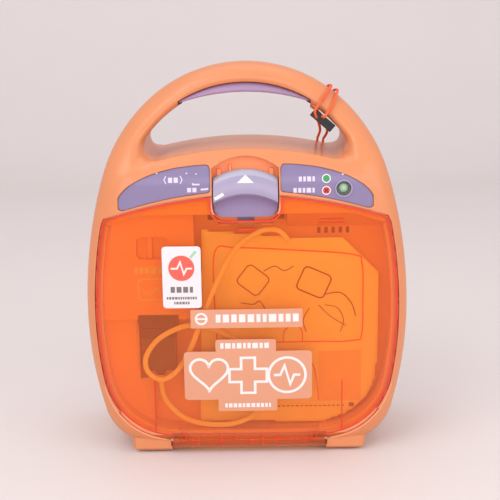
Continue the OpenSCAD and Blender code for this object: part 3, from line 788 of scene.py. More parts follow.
case_orange = finish_of("case_orange_plastic", srgb(216, 134, 86), 0.4, 0.035, 22, 0.5, 0.01,
                        coat=0.22, soft_edge=0.7)
# Paler copy of the case orange for the seat's rounded edge: painted highlight.
bead_highlight_orange = finish_of("ledge_bead_painted_highlight", srgb(246, 150, 106), 0.2, 0.03, coat=1.0)
# A paler copy of the case orange for the seat and deck-hole walls under the lid: painted light where they
# lie in shade.
seat_lightened_orange = finish_of("lid_seat_painted_light", srgb(248, 186, 140), 0.45, 0.04, soft_edge=0.5)
# A lighter copy of the case orange for the lever's well: painted light where the deep well is in shade.
well_lightened_orange = finish_of("well_orange_painted_light", srgb(244, 138, 84), 0.4, 0.05)
lid_orange = tinted_clear("lid_orange_clear", (1.0, 0.83, 0.50, 1.0), srgb(255, 114, 44), 0.14,
                          slant=0.2)
# Red of the lid's inner ribs, lip and hinge-barrel marks; the same red drawn as a line round the lid's rim
# is painted edge glow.
lid_red_and_edge_glow = finish_of("lid_red_and_painted_edge_glow", srgb(222, 46, 20), 0.3, 0.04, coat=0.15)
# Opaque bright orange for the lid's side walls: painted edge glow in place of light carried through the
# clear edge, also covering the shade behind it.
lid_wall_edge_glow = finish_of("lid_rim_painted_glow", srgb(250, 84, 30), 0.3, 0.04, coat=0.15)
lavender = finish_of("lavender_film", srgb(130, 116, 156), 0.38, 0.05, 10, coat=0.15, soft_edge=0.3)
lever_lilac = finish_of("lever_lilac_plastic", srgb(158, 148, 178), 0.36, 0.04, coat=0.2)
# The lever's scoop and top band are its lilac plastic painted darker and lighter: painted shade under the
# ridge, painted highlight where the top face tilts up.
lever_scoop_shade = finish_of("lever_scoop_painted_shade", srgb(140, 122, 162), 0.45, 0.05)
lever_top_highlight = finish_of("lever_top_painted_highlight", srgb(172, 170, 190), 0.34, 0.03, coat=0.2)
grip_purple = finish_of("grip_soft_purple", srgb(184, 162, 208), 0.6, 0.07, 12, 0.6, 0.03)
white_ink = finish_of("white_ink", srgb(232, 226, 226), 0.5, 0.02)
grey_ink = finish_of("grey_ink", srgb(120, 108, 112), 0.5, 0.04)
faint_ink = finish_of("faint_panel_ink", srgb(216, 206, 228), 0.5, 0.03)
brown_ink = finish_of("brown_ink", srgb(120, 40, 10), 0.6, 0.05)
red_ink = finish_of("red_ink", srgb(224, 46, 40), 0.5, 0.04)
green_ink = finish_of("green_ink", srgb(52, 150, 92), 0.5, 0.04)
coral_ink = finish_of("coral_ink", srgb(244, 92, 78), 0.5, 0.03)
pale_green_ink = finish_of("pale_green_ink", srgb(150, 206, 160), 0.5, 0.03)
amber_ink = finish_of("amber_ink", srgb(250, 190, 60), 0.5, 0.05)
salmon_film = finish_of("salmon_film", srgb(214, 150, 118), 0.35, 0.03, coat=0.2)
sticker_film = finish_of("sticker_film", srgb(226, 220, 224), 0.4, 0.02, coat=0.2)
deck_plastic = finish_of("deck_pale_plastic", srgb(248, 176, 158), 0.5, 0.05, soft_edge=0.8)
pouch_foil = finish_of("pouch_foil_film", srgb(255, 240, 205), 0.38, 0.04, 30, 1.2, 0.06, coat=0.25)
pouch_tint = finish_of("pouch_tinted_print", srgb(250, 205, 170), 0.45, 0.05)
cable_cream = finish_of("cable_cream_sheath", srgb(255, 238, 214), 0.45, 0.03)
cord_orange = finish_of("tag_cord_braid", srgb(238, 98, 52), 0.7, 0.18, 1.1, 0.5, 0.12)
dark_plastic = finish_of("dark_moulded_plastic", srgb(48, 34, 36), 0.42, 0.10, soft_edge=0.4)
clip_black = finish_of("clip_black_plastic", srgb(16, 9, 12), 0.5, 0.1, soft_edge=0.4)
plug_plastic = finish_of("plug_plastic", srgb(92, 66, 60), 0.45, 0.12, soft_edge=0.6)
button_red = finish_of("shock_button_red", srgb(246, 96, 52), 0.25, 0.05, coat=0.4, soft_edge=0.5)
foot_rubber = finish_of("foot_rubber", srgb(50, 46, 48), 0.75, 0.1, grain_depth=0.04)
screw_steel = finish_of("screw_zinc_steel", srgb(176, 176, 180), 0.32, 0.08, 3, metal=1.0)
spring_steel = finish_of("spring_drawn_steel", srgb(168, 168, 172), 0.28, 0.06, 2, metal=1.0)
contact_gold = finish_of("contact_plating", srgb(222, 176, 92), 0.25, 0.06, 2, metal=1.0)
label_white = finish_of("rear_label_film", srgb(236, 234, 230), 0.5, 0.03)
tag_yellow = finish_of("tag_yellow_card", srgb(246, 214, 92), 0.4, 0.04, coat=0.2)
battery_grey = finish_of("battery_lilac_plastic", srgb(150, 136, 172), 0.45, 0.05, coat=0.1, soft_edge=0.8)
status_green = finish_of("status_green_disc", srgb(170, 232, 178), 0.4, 0.05)
ring_lilac = finish_of("status_ring_lilac", srgb(172, 156, 198), 0.3, 0.05, coat=0.3)
well_white = finish_of("status_well_white", srgb(240, 240, 236), 0.5, 0.03)
ring_dark = finish_of("status_ring_dark", srgb(48, 30, 32), 0.5, 0.5, 1.2)
board_green = finish_of("board_mask_green", srgb(24, 92, 54), 0.45, 0.08, 4)
wrap_amber = finish_of("capacitor_wrap", srgb(196, 158, 40), 0.3, 0.05, coat=0.3)
core_dark = finish_of("transformer_core", srgb(64, 54, 48), 0.6, 0.1)
lens_clear = tinted_clear("status_lens_clear", (0.96, 1.0, 0.96, 1.0), srgb(200, 236, 204), 0.05)
# Mostly opaque pale green cover in front of the status disc: painted light, as little light reaches the disc
# down its hole.
status_pale_cover = tinted_clear("status_diffuser_painted_light", (0.85, 1.0, 0.87, 1.0), srgb(220, 244, 222), 0.85)

# ---- Camera, light and floor ----

scene = bpy.context.scene
scene.view_settings.view_transform = "Standard"

camera_data = bpy.data.cameras.new("camera")
camera_data.lens = 77.7
camera_data.sensor_width = 36.0
camera_data.clip_start = 0.05
camera = bpy.data.objects.new("camera", camera_data)
bpy.context.scene.collection.objects.link(camera)
CAMERA_AT = Vector((0.0023, -0.705, 0.287))
CAMERA_PITCH = math.radians(12.8)
CAMERA_ROLL = math.radians(-0.8)
camera.matrix_world = (Matrix.Translation(CAMERA_AT)
                       @ Matrix.Rotation(math.pi / 2 - CAMERA_PITCH, 4, "X")
                       @ Matrix.Rotation(CAMERA_ROLL, 4, "Z"))
scene.camera = camera


def soft_light(name, place, aim, size, power, colour):
    data = bpy.data.lights.new(name, "AREA")
    data.shape = "RECTANGLE"
    data.size, data.size_y = size
    data.energy = power
    data.color = colour
    light = bpy.data.objects.new(name, data)
    light.location = place
    light.rotation_euler = (Vector(aim) - Vector(place)).to_track_quat("-Z", "Y").to_euler()
    scene.collection.objects.link(light)


soft_light("key_light", (-0.7, -0.9, 1.2), (0, 0, 0.1), (0.9, 0.9), 7.4, (1.0, 0.98, 0.96))
soft_light("fill_light", (0.9, -0.8, 0.6), (0, 0, 0.12), (0.9, 0.9), 4.2, (1.0, 0.97, 0.96))
soft_light("top_light", (0.0, 0.1, 1.4), (0, 0, 0.1), (1.2, 0.8), 3.0, (1.0, 1.0, 1.0))
soft_light("low_light", (0.0, -2.6, 0.5), (0, 0, 0.07), (2.4, 0.7), 16.0, (1.0, 0.97, 0.96))

world = bpy.data.worlds.new("studio")
world.use_nodes = True
world.node_tree.nodes["Background"].inputs["Color"].default_value = (0.83, 0.80, 0.81, 1.0)
world.node_tree.nodes["Background"].inputs["Strength"].default_value = 0.92
scene.world = world

floor_finish = finish_of("floor_pale", srgb(226, 219, 218), 0.55, 0.02, 120, 2.0, 0.02)
profile = [(-3000.0, 0.0), (0.0, 0.0), (1000.0, 0.0)]
profile += [(1000 + 600 * math.sin(a), 600 - 600 * math.cos(a))
            for a in [math.pi / 2 * k / 16 for k in range(1, 17)]] + [(1600.0, 2400.0)]
floor = new_piece("floor", [(x, y, z) for y, z in profile for x in (-3000, 3000)],
                  [(2 * i, 2 * i + 1, 2 * i + 3, 2 * i + 2) for i in range(len(profile) - 1)], floor_finish)

# ---- Cords, on the routes that the part's source gives ----

PADS_ROUTE = [
    (-57, -33, 51.8), (-57, -33, 46), (-54, -34, 34), (-43, -36, 23), (-27, -38.2, 18.6),
    (-8, -38.4, 19.4), (6, -38.4, 28), (10.5, -38.4, 46), (2, -38.2, 66), (-16, -38.4, 81),
    (-36, -40, 87), (-55, -41.2, 80), (-65, -41.2, 68), (-65, -41.2, 57), (-56, -41.6, 51),
    (-45, -42.6, 58), (-36, -43.6, 74), (-27, -43.7, 97), (-17, -43, 120), (-6, -41.4, 138),
    (8, -39, 147.5), (20, -38, 148), (27, -37.6, 141)]
TAG_ROUTE = [
    (50, 50.3, 137), (50, 50.3, 158), (50, 48.8, 174), (50, 44.4, 187), (50, 40.4, 196),
    (50, 30, 199.5), (49.5, 5, 206), (47, -19, 213.5), (44, -28, 221.2), (46, -26.8, 224.8),
    (49, -23.4, 228.8), (53.4, -17.6, 233.6), (55.6, -10, 235.6), (55.6, 0, 235.6), (54.5, 8, 234.4),
    (51, 15.4, 230.8), (47, 20.6, 225), (44.6, 22, 220.6), (46, 10, 219.8), (47.5, -14, 218.8),
    (49.6, -29.4, 218), (52, -28.2, 220.8), (55, -24.6, 224.6), (57.6, -19.6, 229.4),
    (59.7, -10, 232.7), (59.6, 0, 232.6), (58.3, 8, 231.4), (55, 15.6, 227.8), (51, 22, 222),
    (49, 23.6, 217.2), (50, 8, 215.8), (52, -18, 211), (54, 5, 204.5), (54, 30, 198.2),
    (54, 40.6, 195.4), (54, 44.8, 186), (54, 48.8, 174), (54, 50.3, 158), (54, 50.3, 137)]


def pads_cable():
    """Twin-lead cable: two cores side by side under one sheath."""
    section = []
    for cx, start in ((0.8, -130), (-0.8, 50)):
        for i in range(9):
            a = math.radians(start + 260 * i / 8)
            section.append((cx + 0.92 * math.cos(a), 1.1 * math.sin(a)))
    path = spline(PADS_ROUTE, 8)
    cable = sweep("pads_cable_twin", path, section, (0, 1, 0), cable_cream)
    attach(cable, "base")
    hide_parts("pads_cable")


def tag_cord():
    """Braided cord that is looped twice round the handle and holds the tag."""
    path = spline(TAG_ROUTE, 6)
    section = []
    for i in range(16):
        a = 2 * math.pi * i / 16
        r = 0.86 + 0.05 * math.cos(4 * a)
        section.append((r * math.cos(a), r * math.sin(a)))
    cord = sweep("tag_cord_braided", path, section, (0.62, 0, -0.78), cord_orange)
    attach(cord, "base")
    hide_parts("tag_cord")


pads_cable()
tag_cord()

# ---- Case ----


def case_rings(front, side, back, near, far):
    """Rings of the case moved inwards, from the middle of its front or back to the parting plane."""
    turns = [math.radians(a) for a in (0, 8, 16, 25, 34, 44, 54, 64, 74, 82, 90)]
    steps = [0.08, 0.2, 0.32, 0.44, 0.55, 0.65, 0.74, 0.82, 0.89, 0.95]
    rings = []
    edge = FRONT_EDGE if near else BACK_EDGE

    def depth(x, z):
        return front_y(x, z) + front if near else back_y(z) - back

    for s in steps:
        ring = [(MIDDLE[0] + s * (x - MIDDLE[0]), MIDDLE[1] + s * (z - MIDDLE[1]))
                for x, z in case_ring(edge[0] + side)]
        rings.append([(x, depth(x, z), z) for x, z in ring])
    for a in turns:
        d, fall = edge[0] * (1 - math.sin(a)), edge[1] * (1 - math.cos(a))
        turn = fall if near else -fall
        rings.append([(x, depth(x, z) + turn, z) for x, z in case_ring(d + side)])
    rings.append([(x, far, z) for x, z in case_ring(side)])
    return rings


def shell(name, near):
    """Half of the case: its outer skin, its rim at the parting plane and its inner skin."""
    far = PARTING_Y
    outer = case_rings(0, 0, 0, near, far)
    inner = case_rings(FRONT_WALL, WALL, WALL, near, far)
    sign = -1 if near else 1
    outer.insert(len(outer) - 1, [(x, far + sign * 0.35, z) for x, z in case_ring(0)])
    outer[-1] = [(x, far, z) for x, z in case_ring(0.35)]
    out_y = front_y(*MIDDLE) if near else back_y(MIDDLE[1])
    in_y = out_y + FRONT_WALL if near else out_y - WALL
    half = stack(name, outer + list(reversed(inner)), case_orange,
                 ((MIDDLE[0], out_y, MIDDLE[1]), (MIDDLE[0], in_y, MIDDLE[1])))
    return half


def solid_case(name):
    """The whole case as one solid, to trim what is inside it."""
    front = case_rings(0.3, 0.3, 0.3, True, PARTING_Y)
    rear = list(reversed(case_rings(0.3, 0.3, 0.3, False, PARTING_Y)[:-1]))
    return stack(name, front + rear, None, ((0, front_y(*MIDDLE) + 0.3, MIDDLE[1]),
                                            (0, back_y(MIDDLE[1]) - 0.3, MIDDLE[1])))


def opening_tool(grow=0.0):
    """Cutter for the handle opening, flared towards the front and the back."""
    half = opening_points()
    mirrored = [((-x, z), (-nx, nz), f) for (x, z), (nx, nz), f in reversed(half[1:-1])]
    outline = half + mirrored
    rings = []

    def ring(offset, depth, near):
        points = []
        for (x, z), (nx, nz), flare in outline:
            px, pz = x + nx * (offset(flare) + grow), z + nz * (offset(flare) + grow)
            y = skin_y(px, pz) + depth(flare) if near else rear_y(px, pz) - depth(flare)
            points.append((px, y, pz))
        return points

    rings.append(ring(lambda f: f + 1.5, lambda f: -12, True))
    for a in (0, 15, 30, 45, 60, 75, 90):
        t = math.radians(a)
        rings.append(ring(lambda f: f * (1 - math.sin(t)),
                          lambda f: (1.2 * f + 0.6) * (1 - math.cos(t)), True))
    for a in (90, 75, 60, 45, 30, 15, 0):
        t = math.radians(a)
        rings.append(ring(lambda f: 0.8 * f * (1 - math.sin(t)),
                          lambda f: f * (1 - math.cos(t)), False))
    rings.append(ring(lambda f: 0.8 * f + 1.5, lambda f: -12, False))
    return stack("opening_tool", rings, None, ((0, -80, 215), (0, 70, 215)))


def grip_outline(grow=0.0):
    low_c = GRIP_LOW_Z - GRIP_LOW_R
    xs = [-GRIP_HALF - grow + 2 * (GRIP_HALF + grow) * i / 40 for i in range(41)]
    low = [(x, low_c + math.sqrt(GRIP_LOW_R**2 - x * x) - grow) for x in xs]
    top = [(x, TOP_C[1] + math.sqrt(GRIP_TOP_R**2 - x * x) + grow) for x in reversed(xs)]
    return low + top


def slab(name, t0, t1):
    """A slab under the whole front surface, wide enough for any cut."""
    cols = []
    for i in range(-44, 45):
        x = math.copysign(99.5 * (1 - (1 - abs(i) / 44) ** 1.4), i)
        cols.append((x, -2.0, 181.0))
    return sheet_solid(name, cols, 90, t0, t1)


def recess_tool():
    """Cutter for the lid's seat: the lid's outline with its gap, lower at the bottom corners."""
    tool = slab("recess_tool", -14, LEDGE_T)
    outline = both_sides(lid_half(LID_GAP))
    seat = prism("seat", outline, -70, 10)
    drop = [(x, z - 2.4) for x, z in both_sides(lid_half(LID_GAP + 0.2))]
    low_part = block("low_part", (-90, -80, 0), (90, 20, 30))
    low = carve(prism("low_seat", drop, -70, 10), low_part, "INTERSECT")
    carve(seat, low, "UNION")
    return carve(tool, seat, "INTERSECT")


def skid(side, y0, y1):
    """One of the two runners under the case."""
    x0, x1 = 50.5, 76.5
    corners = [(x, y, z) for x in (x0, x1 - 2) for y in (y0, y1) for z in (3, 10)]
    corners += [(x, y, 1.2) for x in (x0, x1 - 4) for y in (y0 + 2, y1 - 2)]
    corners += [(x1, y, z) for y in (y0 + 3, y1 - 3) for z in (4, 12)]
    bm = bmesh.new()
    for x, y, z in corners:
        bm.verts.new(Vector((side * x, y, z)) * MM)
    hull = bmesh.ops.convex_hull(bm, input=bm.verts)
    bmesh.ops.delete(bm, geom=[v for v in hull["geom_interior"] if isinstance(v, bmesh.types.BMVert)],
                     context="VERTS")
    mesh = bpy.data.meshes.new("skid")
    bm.to_mesh(mesh)
    bm.free()
    piece = bpy.data.objects.new("skid", mesh)
    scene.collection.objects.link(piece)
    return outwards(piece)


def line_opening(half, near):
    """Walls round the handle opening and the grip's seat, inside the hollow case."""
    y0, y1 = (-90, PARTING_Y) if near else (PARTING_Y, 90)
    for tool in (opening_tool(WALL), prism("grip_walls", grip_outline(WALL), -75, 65)):
        carve(tool, solid_case("trim"), "INTERSECT")
        carve(tool, block("half", (-120, y0, 150), (120, y1, 260)), "INTERSECT")
        carve(half, tool, "UNION")
    carve(half, opening_tool())
    carve(half, prism("grip_seat", grip_outline(0.12), -75, 65))


def status_bore(r):
    """Cutter for the hole that the status window sits in."""
    x, z = STATUS_AT
    return bar("status_bore", (x, -60, z), (x, -30, z), r)


SLIDE_SLOTS = (((-5.4, -50, 168), (5.4, -30, 186.4)), ((-5.4, -50, 148), (5.4, -36, 163.8)))


def case_front():
    front = shell("case_front", True)
    for low, high in (((-23.4, -44, 153.6), (23.4, -37.2, 186)), ((-23.4, -41, 184), (23.4, -37.2, 198.5))):
        carve(front, block("well_block", low, high), "UNION")
    housing = bar("hinge_block", (-62, *HINGE), (62, *HINGE), 8.1)
    carve(front, carve(housing, solid_case("trim"), "INTERSECT"), "UNION")
    for side in (-1, 1):
        carve(front, skid(side, -41, PARTING_Y), "UNION")
    line_opening(front, True)
    carve(front, recess_tool())
    carve(front, bar("hinge_room", (-TAB_X - 0.4, *HINGE), (TAB_X + 0.4, *HINGE), 5.9))
    carve(front, block("hinge_front", (-TAB_X - 0.4, -70, -2), (TAB_X + 0.4, *HINGE)))
    deck = [(x, min(160.0, max(15.8, z))) for x, z in both_sides(lid_half(-4.0))]
    carve(front, prism("deck_hole", deck, -70, -20))
    carve(front, prism("window_hole", window_outline(), -70, WELL_FRONT_Y))
    for low, high in SLIDE_SLOTS:
        carve(front, block("slide_slot", low, high))
    for flip in (False, True):
        carve(front, sheet_solid("panel_seat", panel_cols(0.25), 12, -8, 2.1, flip=flip))
    carve(front, status_bore(4.6))
    dress(front, case_orange).data.materials.append(seat_lightened_orange)
    # Faces under the lid get the paler copy: painted light on the shaded seat and deck-hole walls.
    for face in front.data.polygons:
        x, y, z = face.center / MM
        under_lid = edge_dist(x, z) > LID_IN - LID_GAP + 0.3 and 13 < z < 171
        if under_lid and skin_y(x, z) + 1.8 < y < -20:
            face.material_index = 1
    crisp(front)
    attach(front, "base")
    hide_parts("front_housing")


case_front()


def case_back():
    rear = shell("case_back", False)
    for side in (-1, 1):
        carve(rear, skid(side, PARTING_Y, 40), "UNION")
    bay_low, bay_high = cad_box("battery_pack")
    latch_low, latch_high = cad_box("battery_latch")
    wall = 3.0
    carve(rear, block("bay_walls", (bay_low.x - wall, bay_low.y - wall, bay_low.z - wall),
                      (bay_high.x + wall, BODY_D / 2 - 1, bay_high.z + wall)), "UNION")
    carve(rear, block("latch_walls", (latch_low.x - 3, 39, bay_high.z),
                      (latch_high.x + 3, BODY_D / 2 - 1, 110)), "UNION")
    line_opening(rear, False)
    gap = 0.4
    carve(rear, block("bay", (bay_low.x - gap, bay_low.y - gap, bay_low.z - gap),
                      (bay_high.x + gap, 60, bay_high.z + gap)))
    carve(rear, block("latch_room", (latch_low.x - 0.5, 41, bay_high.z), (latch_high.x + 0.5, 60, 105.6)))
    for x, z in ((95.5, 118), (66, 11), (58, 222)):
        for side in (-1, 1):
            carve(rear, bar("screw_room", (side * x, 2.9, z), (side * x, 60, z), 3.6, n=32))
    label_low, label_high = cad_box("rear_label")
    carve(rear, block("label_pocket", (label_low.x - 0.3, label_low.y - 0.02, label_low.z - 0.3),
                      (label_high.x + 0.3, 60, label_high.z + 0.3)))
    for i in range(5):
        slot = rounded_rect(-73.3, -38.7, 114.7 + 7 * i, 117.3 + 7 * i, 1.29)
        carve(rear, prism("sound_slot", slot, 40, 60))
    for side in (-1, 1):
        slot = rounded_rect(side * 78 - 5, side * 78 + 5, 176, 192, 4.9)
        carve(rear, prism("bracket_pocket", slot, back_y(184) - 3.0, 60))
    crisp(dress(rear, case_orange))
    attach(rear, "base")
    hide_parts("rear_housing")


def case_grip():
    """Soft insert under the handle, proud of the flared opening by its round edges."""
    rings = []
    low_c = GRIP_LOW_Z - GRIP_LOW_R
    half = GRIP_HALF - 0.4
    for i in range(49):
        x = half * math.sin(math.pi / 2 * (i / 24 - 1))
        low = low_c + math.sqrt(GRIP_LOW_R**2 - x * x) + 0.15
        high = TOP_C[1] + math.sqrt(GRIP_TOP_R**2 - x * x) - 0.3
        mid_z = (low + high) / 2
        front = skin_y(x, high + 6) + 6.5
        back = rear_y(x, high + 6) - 6.0
        ring = []
        for k in range(28):
            a = 2 * math.pi * k / 28
            c, s = math.cos(a), math.sin(a)
            across = math.copysign(abs(c) ** 0.45, c)
            up = math.copysign(abs(s) ** 0.7, s)
            ring.append((x, (front + back) / 2 + across * (back - front) / 2, mid_z + up * (high - low) / 2))
        rings.append(ring)
    ends = [(ring[0][0], sum(p[1] for p in ring) / 28, sum(p[2] for p in ring) / 28)
            for ring in (rings[0], rings[-1])]
    grip = stack("handle_grip_soft", rings, grip_purple, tuple(ends))
    crisp(grip, 50)
    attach(grip, "base")
    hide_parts("handle_grip")


def label_panels():
    for name, node, flip in (("panel_left", "label_panel_left", True),
                             ("panel_right", "label_panel_right", False)):
        panel = sheet_solid(name, panel_cols(), 14, 0.8, 2.0, lavender, flip)
        if not flip:
            carve(panel, status_bore(4.7))
        crisp(dress(panel, lavender))
        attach(panel, "base")
        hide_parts(node)


def ledge_beads():
    """Glossy rounded edge of the lid's seat at the two low corners, paler than the case orange as a painted
    highlight.
    """
    beads = []
    for side in (-1, 1):
        line = [(x, z - 2.4) for x, z in lid_half(LID_GAP + 0.5) if x > TAB_X + 3 and z < 50]
        path = [Vector((side * x, skin_y(x, z) + 0.3, z)) for x, z in line]
        section = [(0.5 * math.cos(a), 0.5 * math.sin(a)) for a in [math.pi / 6 * k for k in range(12)]]
        beads.append(sweep("bead", path, section, (0, 1, 0), bead_highlight_orange))
    beads = crisp(joined("lid_seat_beads", beads), 50)
    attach(beads, "base")


def sound_grille():
    """Upright bars behind the sound slots at the back."""
    grille = grown("sound_grille_bars", BAR_ROW, {
                   "Count": 9, "Step": (3.2, 0, 0), "Bar Size": (1.2, 0.5, 34.0),
                   "Middle": (-68.6, back_high.y - WALL - 0.6, 131.0), "Turn": (0.0, 0.0, 0.0),
                   "Finish": dark_plastic}, 0.2)
    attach(grille, "base")


def coil_spring(name, node, axis, wire, turns):
    """A coil spring between its seats."""
    low, high = cad_box(node)
    middle = (low + high) / 2
    length = (high - low)[axis]
    radius = (high - low)[0] / 2 - wire
    path = []
    for i in range(16 * turns + 1):
        a = 2 * math.pi * i / 16
        along = low[axis] + wire + (length - 2 * wire) * i / (16 * turns)
        if axis == 1:
            path.append(Vector((middle.x + radius * math.cos(a), along, middle.z + radius * math.sin(a))))
        else:
            path.append(Vector((middle.x + radius * math.cos(a), middle.y + radius * math.sin(a), along)))
    section = [(wire * math.cos(a), wire * math.sin(a)) for a in [math.pi / 4 * k for k in range(8)]]
    line = [0, 0, 0]
    line[axis] = 1
    coil = crisp(sweep(name, path, section, line, spring_steel), 50)
    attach(coil, "base")
    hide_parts(node)
    seat = list(middle * MM)
    seat[axis] = high[axis] * MM
    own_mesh(coil)


def latch_ribs():
    """Finger ribs on the battery latch."""
    low, high = cad_box("battery_latch")
    middle_z = (low.z + high.z) / 2
    ribs = grown("battery_latch_ribs", BAR_ROW, {"Count": 4, "Step": (0, 0, 2.2),
                 "Bar Size": (0.62 * (high.x - low.x), 0.9, 0.9),
                 "Middle": ((low.x + high.x) / 2, high.y + 0.1, middle_z - 3.3), "Turn": (0.0, 0.0, 0.0),
                 "Finish": lever_lilac}, 0.25)
    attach(ribs, "latch")


case_back()
case_grip()
label_panels()
ledge_beads()
sound_grille()
latch_ribs()
coil_spring("shock_spring_coil", "shock_spring", 1, 0.45, 4)
coil_spring("lever_spring_coil", "lever_spring", 2, 0.35, 8)
coil_spring("latch_spring_coil", "latch_spring", 2, 0.3, 4)


def lever_well():
    """Steps and guide ribs on the back wall of the lever's window, in a lighter copy of the case orange:
    painted light in the deep, shaded well.
    """
    y0, y1 = WELL_FRONT_Y - 0.5, WELL_FRONT_Y + 0.1
    pieces = [block("rib", (x - w, y0 - 1.6, 180), (x + w, y1, 193.6 - abs(x) / 3), well_lightened_orange, 0.3)
              for x, w in ((-16.4, 1.2), (-9.4, 0.7), (16.2, 1.4))]
    back = block("well_back", (-22.4, WELL_FRONT_Y - 0.12, 154.6),
                 (22.4, WELL_FRONT_Y + 0.05, 195.4), well_lightened_orange)
    carve(back, prism("trim", window_outline(1.4), -60, 0), "INTERSECT")
    for low, high in SLIDE_SLOTS:
        carve(back, block("slide_slot", low, high))
    dress(back, well_lightened_orange)
    well = crisp(joined("lever_well_lining", pieces + [back]))
    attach(well, "base")


# ---- Lever ----


def lever_section():
    """Side view of the lever as (depth, height), from its low edge to its top."""
    corners = [(-43.4, 0.0), (-42.4, 3.5), (-41.9, 7.5), (-42.4, 11.0), (-44.2, 13.6), (-46.6, 14.9),
               (-47.9, 15.2), (-48.1, 15.9), (-48.0, 18.5), (-47.6, 22.0), (-47.0, 24.6), (-46.2, 26.6),
               (-44.9, 28.6), (-43.2, 29.8), (-41.8, 30.0), (-40.0, 30.0)]
    return [(y, 158.0 + up) for y, up in corners]


def lever_finish(z):
    """Which of the lever's three finishes covers it at a height: painted shade in the scoop under the ridge,
    a painted highlight on the top band, or the plain lilac between.
    """
    if z < 171.8:
        return 1
    return 2 if z > 183.6 else 0


def opening_lever():
    half = 20.0
    corner = 6.5
    section = lever_section()
    rings = []
    for i in range(49):
        x = half * math.sin(math.pi / 2 * (i / 24 - 1))
        bow = x * x / 74
        e = max(0.0, abs(x) - half + corner)
        low = 158 + corner - math.sqrt(max(0.0, corner * corner - e * e)) + 0.02
        front = []
        for y, z in section:
            share = min(1.0, max(0.0, (z - 158) / 13))
            place = max(low, z - bow * share) if z < 171 else z - bow
            front.append((x, y, place))
        back = [(x, -40.0, place) for _, _, place in reversed(front[:-1])]
        rings.append(front + back)
    lever = stack("opening_lever_cap", rings, None)
    for material in (lever_lilac, lever_scoop_shade, lever_top_highlight):
        lever.data.materials.append(material)
    # Faces in the scoop get painted shade, faces on the top band a painted highlight.
    for face in lever.data.polygons:
        centre = face.center / MM
        if centre.y < -40.2:
            face.material_index = lever_finish(centre.z + centre.x**2 / 74)
    crisp(lever, 40)
    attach(lever, "lever")
    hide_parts("opening_lever")

    def face_y(x, z):
        up = z + x * x / 74
        for (y0, z0), (y1, z1) in zip(section, section[1:]):
            if z0 <= up <= z1:
                return y0 + (y1 - y0) * (up - z0) / max(1e-6, z1 - z0)
        return section[-1][0]

    arrow = [(-5.2 * (1.02 - k / 8), 5.2 * (1.02 - k / 8), 180.0 + 4.8 * k / 8) for k in range(9)]
    edge = [(-19.2, 175.2 - 5.0), (-13.6, 175.8 - 2.5)]
    shapes = [filled(arrow, face_y, 0.12), ribbon(edge, 2.0, face_y, 0.1)]
    marks("lever_marks", shapes, white_ink, "lever")


lever_well()
opening_lever()

# ---- Lid ----


def clear_lid():
    lid = slab("lid_clear_shell", 0.0, LID_T)
    outline = prism("lid_cut", both_sides(lid_half(0.0)), -70, 10)
    notch = rounded_rect(-WINDOW_X - 0.9, WINDOW_X + 0.9, WINDOW_LOW_Z, 210, WINDOW_CORNER_R, 10)
    carve(outline, prism("notch", notch, -80, 20))
    carve(lid, outline, "INTERSECT")
    carve(lid, bar("barrel", (-TAB_X, *HINGE), (TAB_X, *HINGE), 5.4, n=64), "UNION")
    for x in (-44, -30, -15, 15, 30, 44):
        carve(lid, block("web", (x - 0.8, -42.2, 9), (x + 0.8, -38.8, 13.2)), "UNION")
    for side in (-1, 1):
        carve(lid, bar("pin_bore", (side * 41.6, *HINGE), (side * (TAB_X + 1), *HINGE), 1.85, n=32))
    dress(lid, lid_orange).data.materials.append(lid_wall_edge_glow)
    # The lid's side walls get the opaque bright orange: painted edge glow that also hides the shade behind.
    for face in lid.data.polygons:
        if abs(face.normal.y) < 0.3 and face.center.z > 16 * MM:
            face.material_index = 1
    crisp(lid)
    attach(lid, "lid")
    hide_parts("lid")
    notch_x = WINDOW_X + 1.4
    half = [(x, z) for x, z in lid_half(-0.5) if x > notch_x or z < WINDOW_LOW_Z]
    rim = [(-x, z) for x, z in reversed(half[1:])] + half
    corner = (notch_x - WINDOW_CORNER_R - 0.5, WINDOW_LOW_Z + WINDOW_CORNER_R)
    side = arc(corner, WINDOW_CORNER_R + 0.5, -math.pi / 2, 0, 12) + [(notch_x, corner[1]), (notch_x, 171.0)]
    # Red lines round the rim and the window's notch are painted edge glow of the clear lid; the barrel ring
    # and ticks are marks.
    lines = [ribbon(rim, 1.0, skin_y, 0.03),
             ribbon([(-x, z) for x, z in reversed(side)] + side, 1.0, skin_y, 0.04)]

    def barrel_y(x, z):
        return HINGE[0] - math.sqrt(max(0.0, 5.4**2 - (z - HINGE[1]) ** 2))

    lines.append(ribbon(arc((2.0, 8.4), 1.3, 0, 2 * math.pi, 20), 0.5, barrel_y, 0.05, closed=True))
    for x in (-37.0, -33.0, -17.5, 9.5, 18.0, 31.0, 36.0):
        lines.append(ribbon([(x, 5.6 + 1.3 * k) for k in range(6)], 0.5, barrel_y, 0.05))
    marks("lid_edge_glow_and_barrel_marks", lines, lid_red_and_edge_glow, "lid")


def lid_ribs():
    """Thin inner ribs and the lip that the lever's hook holds."""
    pieces = []
    for x in (-60.5, 60.5):
        pieces.append(block("rib", (x - 0.35, -45.0, 16), (x + 0.35, -43.2, 50), lid_red_and_edge_glow, 0.15))
    for x in (-44, -41, 41, 44):
        pieces.append(block("tab_rib", (x - 0.3, -44.6, 9), (x + 0.3, -42.8, 15), lid_red_and_edge_glow, 0.1))
    for x in (-8.5, 8.5, 19, -19):
        pieces.append(block("tab_step", (x - 0.25, -44.4, 9), (x + 0.25, -43.0, 14), lid_red_and_edge_glow, 0.1))
    pieces.append(block("lip", (-5.5, -46.6, 149.2), (5.5, -43.2, 151.2), lid_red_and_edge_glow, 0.3))
    ribs = joined("lid_inner_ribs", pieces)
    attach(crisp(ribs), "lid")


